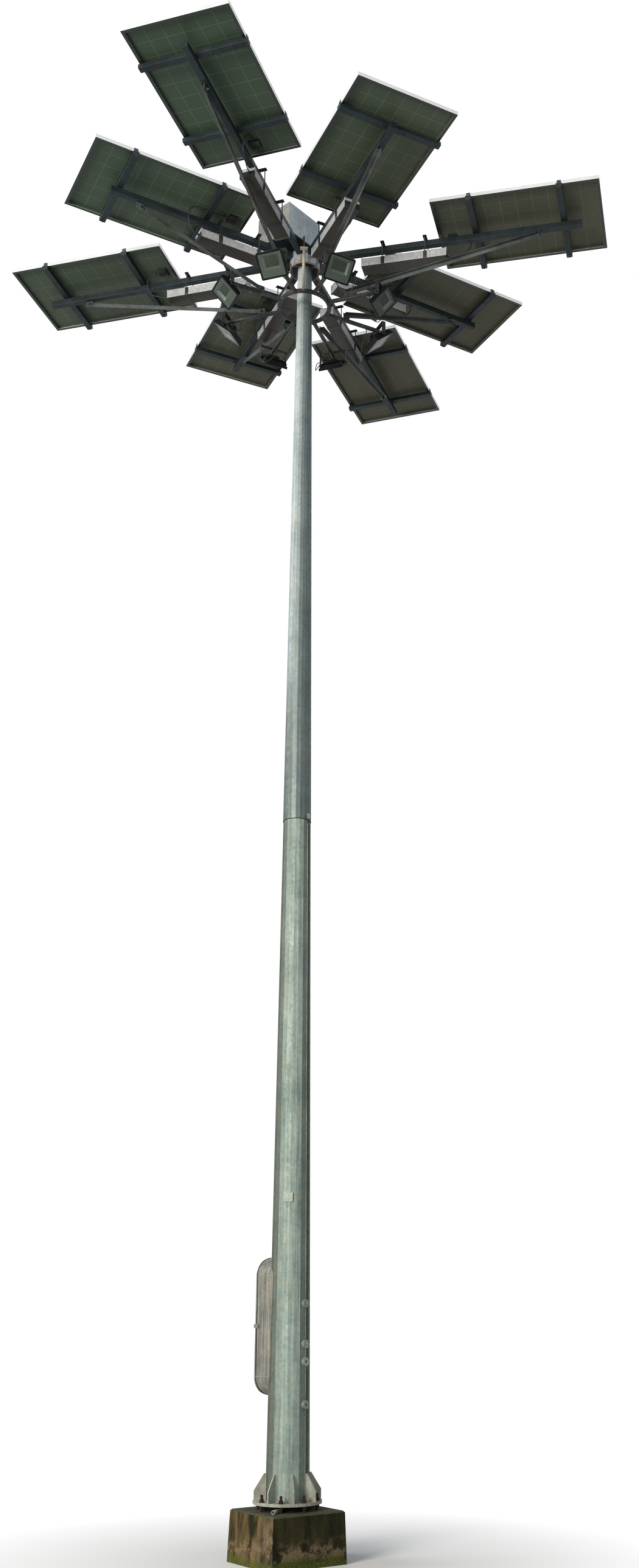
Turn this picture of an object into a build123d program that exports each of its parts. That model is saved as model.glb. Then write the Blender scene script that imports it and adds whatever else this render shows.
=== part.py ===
"""Solar high mast floodlight tower on its concrete plinth, in millimetres, +Z up.

The origin is the centre of the plinth's underside. An azimuth is in degrees from the
front (-Y) towards the right (+X). Radii are from the mast's axis.
"""

import os
from math import atan, atan2, cos, degrees, hypot, pi, radians, sin, tan

from build123d import *

os.makedirs("parts", exist_ok=True)

# Plinth, grout and base flange
plinth_base_side = 760.0
plinth_top_side = 730.0
plinth_height = 450.0
plinth_edge_chamfer = 14.0
plinth_azimuth = 31.6
flange_gap = 55.0
grout_radius = 212.0
flange_radius = 305.0
flange_thickness = 25.0
flange_bore_radius = 110.0
drain_azimuth = -21.0
drain_radius = 17.0
drain_wall = 2.5
drain_reach = 345.0

# Anchor bolts and gussets
anchor_count = 8
anchor_azimuth = -12.5
anchor_circle_radius = 265.0
anchor_radius = 12.0
anchor_hole_clearance = 2.0
anchor_projection = 64.0
nut_across_flats = 36.0
nut_height = 22.0
washer_radius = 25.0
washer_thickness = 5.0
gusset_count = 8
gusset_azimuth = 10.0
gusset_thickness = 12.0
gusset_height = 235.0
gusset_outer_height = 90.0
gusset_top_width = 14.0
gusset_inset = 5.0

# Mast: a many-sided taper in two sections, the upper slipped over the lower
mast_sides = 20
mast_corner_azimuth = 11.5
mast_base_radius = 195.8
mast_taper = 0.01065
lower_length = 6613.0
lower_wall = 5.0
foot_weld_height = 998.0
door_weld_height = 2505.0
slip_length = 400.0
slip_clearance = 0.3
upper_wall = 3.7
upper_length = 5984.0

# Service door
door_azimuth = -139.0
door_centre_height = 2032.0
door_face_radius = 267.0
door_width = 330.0
door_height = 1218.0
door_frame_wall = 10.0
door_frame_depth = 210.0
gasket_thickness = 4.7
gasket_width = 16.0
gasket_inset = 4.0
seat_gap = 0.3
lid_thickness = 14.0
lid_edge_radius = 3.0
hinge_spacing = 620.0
hinge_offset = 14.0
hinge_barrel_radius = 9.0
hinge_pin_radius = 5.0
hinge_pin_clearance = 0.3
hinge_knuckle = 26.0
hinge_knuckle_gap = 0.6
hinge_leaf_thickness = 5.0
hinge_leaf_depth = 34.0
latch_width = 34.0
latch_thickness = 5.0
latch_reach = 30.0
latch_clearance = 5.0

# Small fittings on the mast
earth_azimuth = 48.5
earth_heights = [2233.0, 1878.0, 1724.0, 1353.0]
earth_studded = 2
boss_radius = 37.0
boss_projection = 16.0
boss_bore_radius = 13.0
boss_bore_depth = 14.0
boss_stud_radius = 10.0
boss_stud_projection = 20.0
boss_nut_across_flats = 30.0
boss_nut_height = 12.0
plate_azimuth = -11.0
plate_height = 3175.0
plate_width = 85.0
plate_length = 80.0
plate_projection = 7.0
lug_azimuth = 47.5
lug_lift = 4.0
lug_height = 52.0
lug_projection = 34.0
lug_thickness = 10.0
lug_hole_radius = 8.0

# Head: hub, arms and panels, set out petal by petal
arm_size = 60.0
arm_corner = 6.0
arm_top_height = 12735.0
hub_radius = 150.0
hub_wall = 6.0
hub_height = 155.0
hub_plate_thickness = 8.0
hub_rim_radius = 6.0
hub_web_thickness = 8.0
hub_web_height = 90.0
petal_azimuths = [-22.0, 22.0, 73.3, 115.7, 156.8, 201.5, 250.2, 294.3]
outer_panel_start = 1389.0
inner_panel_start = 702.0
outer_arm_overrun = 176.0
inner_arm_overrun = 83.0
rail_inset = 385.0
rail_width = 60.0
rail_height = 40.0
rail_overhang = 14.0
rail_corner = 4.0
panel_length = 1650.0
panel_width = 992.0
panel_depth = 35.0
panel_wall = 2.0
panel_foot_width = 28.0
panel_foot_thickness = 2.0
panel_lip_width = 9.0
laminate_thickness = 5.0
laminate_top_gap = 1.5
junction_width = 110.0
junction_length = 92.0
junction_depth = 22.0
junction_offset = 88.0
junction_inset = 135.0

# Battery boxes hung under the arms in strap bands
battery_width = 150.0
battery_height = 90.0
battery_corner = 8.0
battery_drop = 85.0
outer_battery_start = 610.0
outer_battery_end = 1480.0
inner_battery_start = 340.0
inner_battery_end = 1150.0
strap_width = 38.0
strap_thickness = 3.0
strap_rod_radius = 5.0
strap_bar_thickness = 6.0
strap_rod_stand = 18.0
strap_weld = 1.0

# Lantern ring, lamp arms and struts
ring_height = 12185.0
ring_radius = 251.0
ring_tube_radius = 21.0
lamp_count = 8
lamp_azimuth = -22.5
lamp_arm_radius = 20.5
lamp_arm_reach = 843.0
strut_leg = 40.0
strut_thickness = 4.0
strut_foot_radius = 470.0
strut_foot_lift = 52.0
strut_head_drop = 36.0
outer_strut_reach = 2400.0
inner_strut_reach = 1750.0
strut_overrun = 25.0
tab_thickness = 8.0
tab_width = 70.0
tab_margin = 26.0

# Floodlights in U stirrups
pivot_radius = 828.0
pivot_height = 12080.0
lamp_pitch = 50.0
lamp_width = 268.0
lamp_height = 245.0
lamp_front = 38.0
lamp_back = 22.0
lamp_rim = 24.0
lamp_corner = 12.0
lamp_taper_inset = 10.0
fin_count = 9
fin_height = 12.0
fin_thickness = 4.0
driver_width = 100.0
driver_length = 80.0
driver_depth = 28.0
glass_margin = 15.0
glass_thickness = 4.0
glass_clearance = 0.3
glass_corner = 6.0
well_width = 176.0
well_length = 128.0
well_rise = 22.0
well_depth = 24.0
well_flare = 40.0
gland_radius = 7.0
gland_length = 12.0
gland_depth = 36.0
stirrup_gap = 5.5
stirrup_thickness = 4.0
stirrup_width = 40.0
stirrup_hole_clearance = 0.3
pivot_bolt_radius = 5.0
pivot_boss_radius = 12.0
pivot_head_radius = 9.0
pivot_head_length = 7.0

# Cables: panel leads to the batteries and lamp leads from the lamp arms
panel_lead_radius = 5.0
lamp_lead_radius = 4.0
lamp_lead_exit = 700.0
grommet_radius = 9.0
grommet_drop = 6.0
lead_bend_share = 0.45

# Hood on the arms and pipe on the ring
hood_side = 447.0
hood_height = 318.0
hood_wall = 2.5
hood_taper = 1.0
hood_centre = (-165.0, -97.0)
head_pipe_azimuth = -3.0
head_pipe_radius = 14.0
head_pipe_bore = 11.5
head_pipe_stand = 284.0
head_pipe_below = 15.0
head_pipe_height = 480.0
tee_length = 75.0
tee_radius = 17.0
sensor_radius = 9.0
sensor_height = 115.0

# Levels and angles that follow from the sizes above
flange_base = plinth_height + flange_gap
flange_top = flange_base + flange_thickness
lower_top = flange_top + lower_length
joint_height = lower_top - slip_length
hub_plate_base = arm_top_height - hub_plate_thickness
mast_top = hub_plate_base
arm_mid_height = arm_top_height - arm_size / 2
arm_base_height = arm_top_height - arm_size
rail_top = arm_top_height + rail_height
rail_offset = panel_length / 2 - rail_inset
hub_base = arm_top_height - hub_height
flat_factor = 1 / cos(pi / mast_sides)
battery_top = arm_base_height - battery_drop
battery_base = battery_top - battery_height
lamp_azimuths = [lamp_azimuth + 360.0 / lamp_count * k for k in range(lamp_count)]


def heading(azimuth):
    """Horizontal unit vector of an azimuth."""
    return Vector(sin(radians(azimuth)), -cos(radians(azimuth)), 0)


def place(azimuth, radius, height):
    """Point at a radius and height on an azimuth."""
    return heading(azimuth) * radius + Vector(0, 0, height)


def across(azimuth, radius=0.0, height=0.0):
    """Plane square to an azimuth: x runs sideways, y up, the normal outwards."""
    out = heading(azimuth)
    return Plane(place(azimuth, radius, height), x_dir=(-out.Y, out.X, 0), z_dir=out)


def along(azimuth, radius=0.0, height=0.0):
    """Level plane with x running outwards on an azimuth."""
    return Plane(place(azimuth, radius, height), x_dir=heading(azimuth), z_dir=(0, 0, 1))


def upright(azimuth):
    """Vertical plane through the axis: x runs outwards on an azimuth, y up."""
    out = heading(azimuth)
    return Plane((0, 0, 0), x_dir=out, z_dir=(out.Y, -out.X, 0))


def mast_corner(height):
    """Radius to the lower section's outer corners at a height."""
    return mast_base_radius - mast_taper * (height - flange_top)


def shaft(low, high, growth):
    """Many-sided taper between two heights, its flats moved out by a growth."""
    with BuildPart() as taper:
        with BuildSketch(Plane.XY.offset(low)):
            RegularPolygon(
                mast_corner(low) + growth * flat_factor,
                mast_sides,
                rotation=mast_corner_azimuth - 90,
            )
        extrude(amount=high - low, taper=degrees(atan(mast_taper / flat_factor)))
    return taper.part


def hexagon_nut(across_flats, height, bore):
    """Hexagon nut standing on the origin, with its corners chamfered."""
    with BuildPart() as nut:
        with BuildSketch():
            RegularPolygon(across_flats / 2, 6, major_radius=False)
        extrude(amount=height)
        with BuildSketch():
            Circle(bore)
        extrude(amount=height, mode=Mode.SUBTRACT)
    return nut.part


def cable(points, radius):
    """Round cable along straight runs joined by tangent arcs as large as the runs allow."""
    bends = []
    for before, corner, after in zip(points, points[1:], points[2:]):
        into = corner - before
        out_of = after - corner
        turn = radians(into.get_angle(out_of))
        bends.append(lead_bend_share * min(into.length, out_of.length) / tan(turn / 2))
    with BuildPart() as sheath:
        with BuildLine() as route:
            FilletPolyline(*points, radius=bends)
        path = route.wire()
        with BuildSketch(Plane(path @ 0, z_dir=path % 0)):
            Circle(radius)
        sweep(path=path)
    length = path.length
    fill = sheath.part.volume / (pi * radius ** 2 * length)
    print("cable", round(length), "mm, bends", [round(b) for b in bends], "fill", round(fill, 4))
    return sheath.part


def stadium(plane, width, height, depth):
    """Flat-sided slot with round ends, standing up on a plane."""
    with BuildPart() as slot:
        with BuildSketch(plane):
            SlotOverall(height, width, rotation=90)
        extrude(amount=depth)
    return slot.part


# The plinth: cast concrete, battered a little, with its top edges knocked off
with BuildPart() as concrete_plinth:
    with BuildSketch():
        Rectangle(plinth_base_side, plinth_base_side, rotation=plinth_azimuth)
    batter = (plinth_base_side - plinth_top_side) / 2
    extrude(amount=plinth_height, taper=degrees(atan(batter / plinth_height)))
    top_edges = concrete_plinth.faces().sort_by(Axis.Z)[-1].edges()
    chamfer(top_edges, plinth_edge_chamfer)

# Grout packed under the flange, set back from its rim
with BuildPart() as grout_pad:
    with BuildSketch(Plane.XY.offset(plinth_height)):
        Circle(grout_radius)
    extrude(amount=flange_gap)

# Drain pipe end lying on the plinth
with BuildPart() as drain_pipe:
    with BuildSketch(across(drain_azimuth, 0, plinth_height + drain_radius)):
        Circle(drain_radius)
        Circle(drain_radius - drain_wall, mode=Mode.SUBTRACT)
    extrude(amount=drain_reach)
    add(grout_pad.part, mode=Mode.SUBTRACT)
    with BuildSketch(Plane.XY.offset(plinth_height)):
        Circle(grout_radius)
    extrude(amount=flange_gap, mode=Mode.SUBTRACT)

# Base flange with its ring of anchor holes
with BuildPart() as base_flange:
    with BuildSketch(Plane.XY.offset(flange_base)):
        Circle(flange_radius)
        Circle(flange_bore_radius, mode=Mode.SUBTRACT)
        with PolarLocations(anchor_circle_radius, anchor_count, anchor_azimuth - 90):
            Circle(anchor_radius + anchor_hole_clearance, mode=Mode.SUBTRACT)
    extrude(amount=flange_thickness)

# Anchor studs, each with a levelling nut below the flange and a clamping nut above
with BuildPart() as anchor_studs:
    with BuildSketch(Plane.XY.offset(plinth_height)):
        with PolarLocations(anchor_circle_radius, anchor_count, anchor_azimuth - 90):
            Circle(anchor_radius)
    extrude(amount=flange_gap + flange_thickness + anchor_projection)

nut_blank = hexagon_nut(nut_across_flats, nut_height, anchor_radius)
with BuildPart() as washer_blank:
    with BuildSketch():
        Circle(washer_radius)
        Circle(anchor_radius, mode=Mode.SUBTRACT)
    extrude(amount=washer_thickness)

with BuildPart() as anchor_nuts:
    with PolarLocations(anchor_circle_radius, anchor_count, anchor_azimuth - 90):
        for foot in (flange_base - washer_thickness, flange_top):
            with Locations((0, 0, foot)):
                add(washer_blank.part)
        for foot in (flange_base - washer_thickness - nut_height, flange_top + washer_thickness):
            with Locations((0, 0, foot)):
                add(nut_blank)

# Lower mast section, cut open behind the service door
door_normal = Vector(heading(door_azimuth).X, heading(door_azimuth).Y, mast_taper)
door_plane = Plane(
    place(door_azimuth, door_face_radius, door_centre_height),
    x_dir=tuple(heading(door_azimuth + 90)),
    z_dir=tuple(door_normal),
)
lower_solid = shaft(flange_top, lower_top, 0)
opening_width = door_width - 2 * door_frame_wall
opening_height = door_height - 2 * door_frame_wall
door_void = stadium(door_plane, opening_width, opening_height, -door_frame_depth)

lower_bore = shaft(flange_top, lower_top, -lower_wall)

with BuildPart() as lower_shell:
    add(lower_solid)
    add(lower_bore, mode=Mode.SUBTRACT)
    add(door_void, mode=Mode.SUBTRACT)

# The lower section is butt-welded from three lengths: a foot, a door length and the rest
with BuildPart() as mast_foot:
    add(lower_shell.part)
    split(bisect_by=Plane.XY.offset(foot_weld_height), keep=Keep.BOTTOM)

with BuildPart() as mast_door_length:
    add(lower_shell.part)
    split(bisect_by=Plane.XY.offset(foot_weld_height), keep=Keep.TOP)
    split(bisect_by=Plane.XY.offset(door_weld_height), keep=Keep.BOTTOM)

with BuildPart() as mast_lower:
    add(lower_shell.part)
    split(bisect_by=Plane.XY.offset(door_weld_height), keep=Keep.TOP)

# Upper mast section, slipped over the lower one
upper_growth = slip_clearance + upper_wall
upper_solid = shaft(joint_height, mast_top, upper_growth)
upper_bore = shaft(joint_height, mast_top, slip_clearance)
with BuildPart() as mast_upper:
    add(upper_solid)
    add(upper_bore, mode=Mode.SUBTRACT)

# Gussets between flange and mast
with BuildPart() as gusset_blank:
    with BuildSketch(Plane.XZ):
        with BuildLine():
            Polyline(
                (flange_bore_radius, flange_top),
                (flange_radius - gusset_inset, flange_top),
                (flange_radius - gusset_inset, flange_top + gusset_outer_height),
                (mast_base_radius + gusset_top_width, flange_top + gusset_height),
                (flange_bore_radius, flange_top + gusset_height),
                close=True,
            )
        make_face()
    extrude(amount=gusset_thickness / 2, both=True)

with BuildPart() as base_gussets:
    with PolarLocations(0, gusset_count, gusset_azimuth - 90):
        add(gusset_blank.part)
    add(lower_solid, mode=Mode.SUBTRACT)

# Door frame: a stadium collar standing out from the mast, with its gasket
frame_solid = stadium(door_plane, door_width, door_height, -door_frame_depth)
with BuildPart() as door_frame:
    add(frame_solid)
    add(door_void, mode=Mode.SUBTRACT)
    add(lower_solid, mode=Mode.SUBTRACT)

with BuildPart() as door_gasket:
    with BuildSketch(door_plane):
        SlotOverall(door_height - gasket_inset, door_width - gasket_inset, rotation=90)
        SlotOverall(door_height - gasket_inset - 2 * gasket_width,
                    door_width - gasket_inset - 2 * gasket_width,
                    rotation=90, mode=Mode.SUBTRACT)
    extrude(amount=gasket_thickness)

# Door lid with its hinge straps; the hinge axis stands off the far edge
lid_back = gasket_thickness + seat_gap
hinge_x = -door_width / 2 - hinge_offset
hinge_z = lid_back + lid_thickness / 2
hinge_heights = (-hinge_spacing / 2, hinge_spacing / 2)
lid_plane = door_plane.offset(lid_back)
knuckle_step = hinge_knuckle + hinge_knuckle_gap

with BuildPart() as service_door:
    with BuildSketch(lid_plane):
        SlotOverall(door_height, door_width, rotation=90)
    extrude(amount=lid_thickness)
    front = service_door.faces().sort_by(Axis(door_plane.origin, door_plane.z_dir))[-1]
    fillet(front.edges(), lid_edge_radius)
    for middle in hinge_heights:
        cut = Plane(door_plane.from_local_coords((0, middle - hinge_knuckle / 2, 0)),
                    x_dir=door_plane.x_dir, z_dir=door_plane.y_dir)
        with BuildSketch(cut):
            with Locations((hinge_x, -hinge_z)):
                Circle(hinge_barrel_radius)
            with Locations((hinge_x / 2 - door_width / 4 + 0.5, -hinge_z)):
                Rectangle(hinge_offset + 1, lid_thickness - 4)
            with Locations((hinge_x, -hinge_z)):
                Circle(hinge_pin_radius + hinge_pin_clearance, mode=Mode.SUBTRACT)
        extrude(amount=hinge_knuckle)

with BuildPart() as door_hinges:
    for middle in hinge_heights:
        for side in (-1, 1):
            low = middle + side * knuckle_step - hinge_knuckle / 2
            cut = Plane(door_plane.from_local_coords((0, low, 0)),
                        x_dir=door_plane.x_dir, z_dir=door_plane.y_dir)
            with BuildSketch(cut):
                with Locations((hinge_x, -hinge_z)):
                    Circle(hinge_barrel_radius)
                with Locations((hinge_x, (hinge_leaf_depth - hinge_z) / 2)):
                    Rectangle(2 * hinge_leaf_thickness, hinge_leaf_depth + hinge_z)
                with Locations(((hinge_x - door_width / 2) / 2, hinge_leaf_depth / 2 + 4)):
                    Rectangle(hinge_offset, hinge_leaf_depth - 8)
            extrude(amount=hinge_knuckle)
        pin_base = door_plane.from_local_coords((0, middle - 1.5 * knuckle_step, 0))
        with BuildSketch(Plane(pin_base, x_dir=door_plane.x_dir, z_dir=door_plane.y_dir)):
            with Locations((hinge_x, -hinge_z)):
                Circle(hinge_pin_radius)
        extrude(amount=3 * knuckle_step)

# Latch: a folded clip fixed on the lid, reaching over the frame's near side
latch_x = door_width / 2 + latch_clearance
latch_front = lid_back + lid_thickness
with BuildPart() as door_latch:
    with BuildSketch(Plane(door_plane.from_local_coords((0, -latch_width / 2, 0)),
                           x_dir=door_plane.x_dir, z_dir=door_plane.y_dir)):
        with BuildLine():
            Polyline(
                (latch_x - 34, -latch_front),
                (latch_x - 34, -latch_front - latch_thickness),
                (latch_x + latch_thickness, -latch_front - latch_thickness),
                (latch_x + latch_thickness, latch_reach),
                (latch_x, latch_reach),
                (latch_x, -latch_front),
                close=True,
            )
        make_face()
    extrude(amount=latch_width)

# Earth bosses on the seam, two with studs and nuts and two left open
with BuildPart() as earth_bosses:
    for index, height in enumerate(earth_heights):
        surface = mast_corner(height)
        with BuildSketch(across(earth_azimuth, 0, height)):
            Circle(boss_radius)
        extrude(amount=surface + boss_projection)
        if index < earth_studded:
            with BuildSketch(across(earth_azimuth, surface, height)):
                Circle(boss_stud_radius)
            extrude(amount=boss_projection + boss_stud_projection)
            with BuildSketch(across(earth_azimuth, surface + boss_projection, height)):
                RegularPolygon(boss_nut_across_flats / 2, 6, major_radius=False)
            extrude(amount=boss_nut_height)
        else:
            mouth = surface + boss_projection
            with BuildSketch(across(earth_azimuth, mouth - boss_bore_depth, height)):
                Circle(boss_bore_radius)
            extrude(amount=boss_bore_depth, mode=Mode.SUBTRACT)
    add(lower_solid, mode=Mode.SUBTRACT)

# Blank cover plate on the front of the mast
with BuildPart() as blank_plate:
    with BuildSketch(across(plate_azimuth, 0, plate_height)):
        RectangleRounded(plate_width, plate_length, 4)
    extrude(amount=mast_corner(plate_height) + plate_projection)
    add(lower_solid, mode=Mode.SUBTRACT)

# Pulling lug just above the slip joint
lug_low = joint_height + lug_lift
lug_out = mast_corner(joint_height) + upper_growth + lug_projection
with BuildPart() as joint_lug:
    with BuildSketch(upright(lug_azimuth)):
        with BuildLine():
            Polyline(
                (0, lug_low),
                (lug_out, lug_low),
                (lug_out, lug_low + lug_height * 0.6),
                (lug_out - lug_projection * 0.5, lug_low + lug_height),
                (0, lug_low + lug_height),
                close=True,
            )
        make_face()
        with Locations((lug_out - lug_projection * 0.45, lug_low + lug_height * 0.42)):
            Circle(lug_hole_radius, mode=Mode.SUBTRACT)
    extrude(amount=lug_thickness / 2, both=True)
    add(upper_solid, mode=Mode.SUBTRACT)

# Hub: a short tube under a plate that caps the mast, webbed to it inside
with BuildPart() as mast_hub:
    with BuildSketch(Plane.XY.offset(hub_base)):
        Circle(hub_radius)
        Circle(hub_radius - hub_wall, mode=Mode.SUBTRACT)
    extrude(amount=hub_height - hub_plate_thickness)
    with Locations((0, 0, hub_base)):
        Torus(hub_radius - hub_wall / 2, hub_rim_radius)
    with BuildSketch(Plane.XY.offset(hub_plate_base - hub_web_height)):
        with PolarLocations(0, 4):
            with Locations((hub_radius / 2, 0)):
                Rectangle(hub_radius - hub_wall, hub_web_thickness)
    extrude(amount=hub_web_height)
    add(upper_solid, mode=Mode.SUBTRACT)
    with BuildSketch(Plane.XY.offset(hub_plate_base)):
        Circle(hub_radius)
    extrude(amount=hub_plate_thickness)

with BuildPart() as hub_blank:
    with BuildSketch(Plane.XY.offset(hub_base)):
        Circle(hub_radius)
    extrude(amount=hub_height)

# Panels take turns: every other petal reaches further out
petals = []
for index, azimuth in enumerate(petal_azimuths):
    outer = index % 2 == 0
    centre = (outer_panel_start if outer else inner_panel_start) + panel_length / 2
    petals.append({
        "azimuth": azimuth,
        "lamp": lamp_azimuths[index],
        "centre": centre,
        "reach": centre + rail_offset + (outer_arm_overrun if outer else inner_arm_overrun),
        "battery": (outer_battery_start, outer_battery_end) if outer
        else (inner_battery_start, inner_battery_end),
        "strut": outer_strut_reach if outer else inner_strut_reach,
    })

with BuildPart() as panel_arms:
    for petal in petals:
        with BuildSketch(across(petal["azimuth"], 0, arm_mid_height)):
            RectangleRounded(arm_size, arm_size, arm_corner)
        extrude(amount=petal["reach"])
    add(hub_blank.part, mode=Mode.SUBTRACT)

with BuildPart() as arm_rails:
    for petal in petals:
        for side in (-1, 1):
            middle = place(petal["azimuth"], petal["centre"] + side * rail_offset,
                           arm_top_height + rail_height / 2)
            out = heading(petal["azimuth"])
            with BuildSketch(Plane(middle, x_dir=tuple(out), z_dir=(-out.Y, out.X, 0))):
                RectangleRounded(rail_width, rail_height, rail_corner)
            extrude(amount=panel_width / 2 + rail_overhang, both=True)

# Panel frames: folded side walls with a foot below and a lip above the laminate
with BuildPart() as frame_blank:
    with BuildSketch():
        Rectangle(panel_length, panel_width)
        Rectangle(panel_length - 2 * panel_wall, panel_width - 2 * panel_wall, mode=Mode.SUBTRACT)
    extrude(amount=panel_depth)
    with BuildSketch():
        Rectangle(panel_length, panel_width)
        Rectangle(panel_length - 2 * panel_foot_width, panel_width - 2 * panel_foot_width,
                  mode=Mode.SUBTRACT)
    extrude(amount=panel_foot_thickness)
    with BuildSketch(Plane.XY.offset(panel_depth - laminate_top_gap)):
        Rectangle(panel_length, panel_width)
        Rectangle(panel_length - 2 * panel_lip_width, panel_width - 2 * panel_lip_width,
                  mode=Mode.SUBTRACT)
    extrude(amount=laminate_top_gap)

with BuildPart() as panel_frames:
    for petal in petals:
        with Locations(along(petal["azimuth"], petal["centre"], rail_top)):
            add(frame_blank.part)

laminate_base = rail_top + panel_depth - laminate_top_gap - laminate_thickness
with BuildPart() as panel_laminates:
    for petal in petals:
        with BuildSketch(along(petal["azimuth"], petal["centre"], laminate_base)):
            Rectangle(panel_length - 2 * panel_wall, panel_width - 2 * panel_wall)
        extrude(amount=laminate_thickness)

with BuildPart() as junction_boxes:
    for petal in petals:
        inner_end = petal["centre"] - panel_length / 2
        with BuildSketch(along(petal["azimuth"], inner_end + junction_inset, laminate_base)):
            with Locations((0, junction_offset)):
                RectangleRounded(junction_length, junction_width, 5)
        extrude(amount=-junction_depth)

# Battery boxes and the strap bands that hang them from the arms
with BuildPart() as battery_boxes:
    for petal in petals:
        start, end = petal["battery"]
        with BuildSketch(across(petal["azimuth"], start, battery_base + battery_height / 2)):
            RectangleRounded(battery_width, battery_height, battery_corner)
        extrude(amount=end - start)

strap_half = battery_width / 2 + strap_thickness
rod_offset = strap_half + strap_rod_radius - strap_weld
with BuildPart() as strap_blank:
    with BuildSketch(Plane.XZ):
        with Locations((0, battery_base + battery_height / 2 - strap_thickness / 2)):
            RectangleRounded(2 * strap_half, battery_height + strap_thickness,
                             battery_corner + strap_thickness)
        with Locations((0, battery_base + battery_height / 2)):
            RectangleRounded(battery_width, battery_height, battery_corner, mode=Mode.SUBTRACT)
        with Locations((0, battery_top)):
            Rectangle(2 * strap_half, 2 * battery_corner, mode=Mode.SUBTRACT)
        with Locations((0, arm_top_height + strap_bar_thickness / 2)):
            Rectangle(2 * rod_offset + 2 * strap_rod_stand, strap_bar_thickness)
    extrude(amount=strap_width / 2, both=True)
    with Locations((-rod_offset, 0, battery_base + battery_height / 3),
                   (rod_offset, 0, battery_base + battery_height / 3)):
        Cylinder(
            strap_rod_radius,
            arm_top_height + strap_rod_stand - battery_base - battery_height / 3,
            align=(Align.CENTER, Align.CENTER, Align.MIN),
        )

with BuildPart() as battery_straps:
    for petal in petals:
        start, end = petal["battery"]
        for share in (0.25, 0.75):
            middle = place(petal["azimuth"], start + share * (end - start), 0)
            with Locations(Location(tuple(middle), (0, 0, petal["azimuth"]))):
                add(strap_blank.part)

# Lantern ring and the lamp arms that spring from it
with BuildPart() as lantern_ring:
    with Locations((0, 0, ring_height)):
        Torus(ring_radius, ring_tube_radius)

with BuildPart() as lamp_arms:
    for azimuth in lamp_azimuths:
        with BuildSketch(across(azimuth, ring_radius + ring_tube_radius / 2, ring_height)):
            Circle(lamp_arm_radius)
        extrude(amount=lamp_arm_reach - ring_radius - ring_tube_radius / 2)
        with BuildSketch(Plane(place(azimuth, lamp_lead_exit, ring_height))):
            Circle(grommet_radius)
        extrude(amount=-lamp_arm_radius - grommet_drop)
    add(lantern_ring.part, mode=Mode.SUBTRACT)

# Struts: an angle bolted to a tab on the lamp arm and a tab under the panel arm
strut_foot_height = ring_height + strut_foot_lift
strut_head_height = arm_base_height - strut_head_drop
with BuildPart() as strut_tabs:
    for petal in petals:
        foot = place(petal["lamp"], strut_foot_radius, 0)
        head = place(petal["azimuth"], petal["strut"], 0)
        span = head - foot
        run = span.length
        side_plane = Plane(foot, x_dir=tuple(span), z_dir=(span.Y, -span.X, 0))
        with BuildSketch(side_plane):
            with Locations((0, (ring_height + strut_foot_height + tab_margin) / 2)):
                Rectangle(tab_width, strut_foot_lift + tab_margin)
            with Locations((run, (arm_base_height + strut_head_height - tab_margin) / 2)):
                Rectangle(tab_width, strut_head_drop + tab_margin)
        extrude(amount=tab_thickness / 2, both=True)
    add(lamp_arms.part, mode=Mode.SUBTRACT)

with BuildPart() as struts:
    for petal in petals:
        foot = place(petal["lamp"], strut_foot_radius, 0)
        head = place(petal["azimuth"], petal["strut"], 0)
        span = head - foot
        run = span.length
        rise = strut_head_height - strut_foot_height
        slope = degrees(atan2(rise, run))
        length = hypot(run, rise) + 2 * strut_overrun
        side_plane = Plane(foot, x_dir=tuple(span), z_dir=(span.Y, -span.X, 0))
        with BuildSketch(side_plane.offset(tab_thickness / 2)):
            with Locations((run / 2, strut_foot_height + rise / 2)):
                Rectangle(length, strut_leg, rotation=slope)
        extrude(amount=strut_thickness)
        lift = (strut_leg - strut_thickness) / 2
        with BuildSketch(side_plane.offset(tab_thickness / 2)):
            with Locations((run / 2 - lift * sin(radians(slope)),
                            strut_foot_height + rise / 2 + lift * cos(radians(slope)))):
                Rectangle(length, strut_thickness, rotation=slope)
        extrude(amount=strut_leg)

# Stirrups: flat bar bent to a U over the end of each lamp arm
stirrup_inner = lamp_width / 2 + stirrup_gap
stirrup_outer = stirrup_inner + stirrup_thickness
stirrup_base = ring_height + lamp_arm_radius
leg_drop = stirrup_base + stirrup_thickness - pivot_height
with BuildPart() as stirrup_blank:
    with BuildSketch(Plane.XZ):
        with Locations((0, -leg_drop)):
            Rectangle(2 * stirrup_outer, leg_drop, align=(Align.CENTER, Align.MIN))
        with Locations((0, -leg_drop)):
            Rectangle(2 * stirrup_inner, leg_drop - stirrup_thickness,
                      align=(Align.CENTER, Align.MIN), mode=Mode.SUBTRACT)
    extrude(amount=stirrup_width / 2, both=True)
    with BuildSketch(Plane.YZ):
        with Locations((0, -leg_drop)):
            Circle(stirrup_width / 2)
    extrude(amount=stirrup_outer, both=True)
    with BuildSketch(Plane.YZ):
        with Locations((0, -leg_drop)):
            Rectangle(2 * stirrup_width, 2 * stirrup_width)
    extrude(amount=stirrup_inner, both=True, mode=Mode.SUBTRACT)
    with BuildSketch(Plane.YZ):
        with Locations((0, -leg_drop)):
            Circle(pivot_bolt_radius + stirrup_hole_clearance)
    extrude(amount=stirrup_outer, both=True, mode=Mode.SUBTRACT)

with BuildPart() as lamp_stirrups:
    for azimuth in lamp_azimuths:
        perch = place(azimuth, pivot_radius, stirrup_base + stirrup_thickness)
        with Locations(Location(tuple(perch), (0, 0, azimuth))):
            add(stirrup_blank.part)

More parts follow.
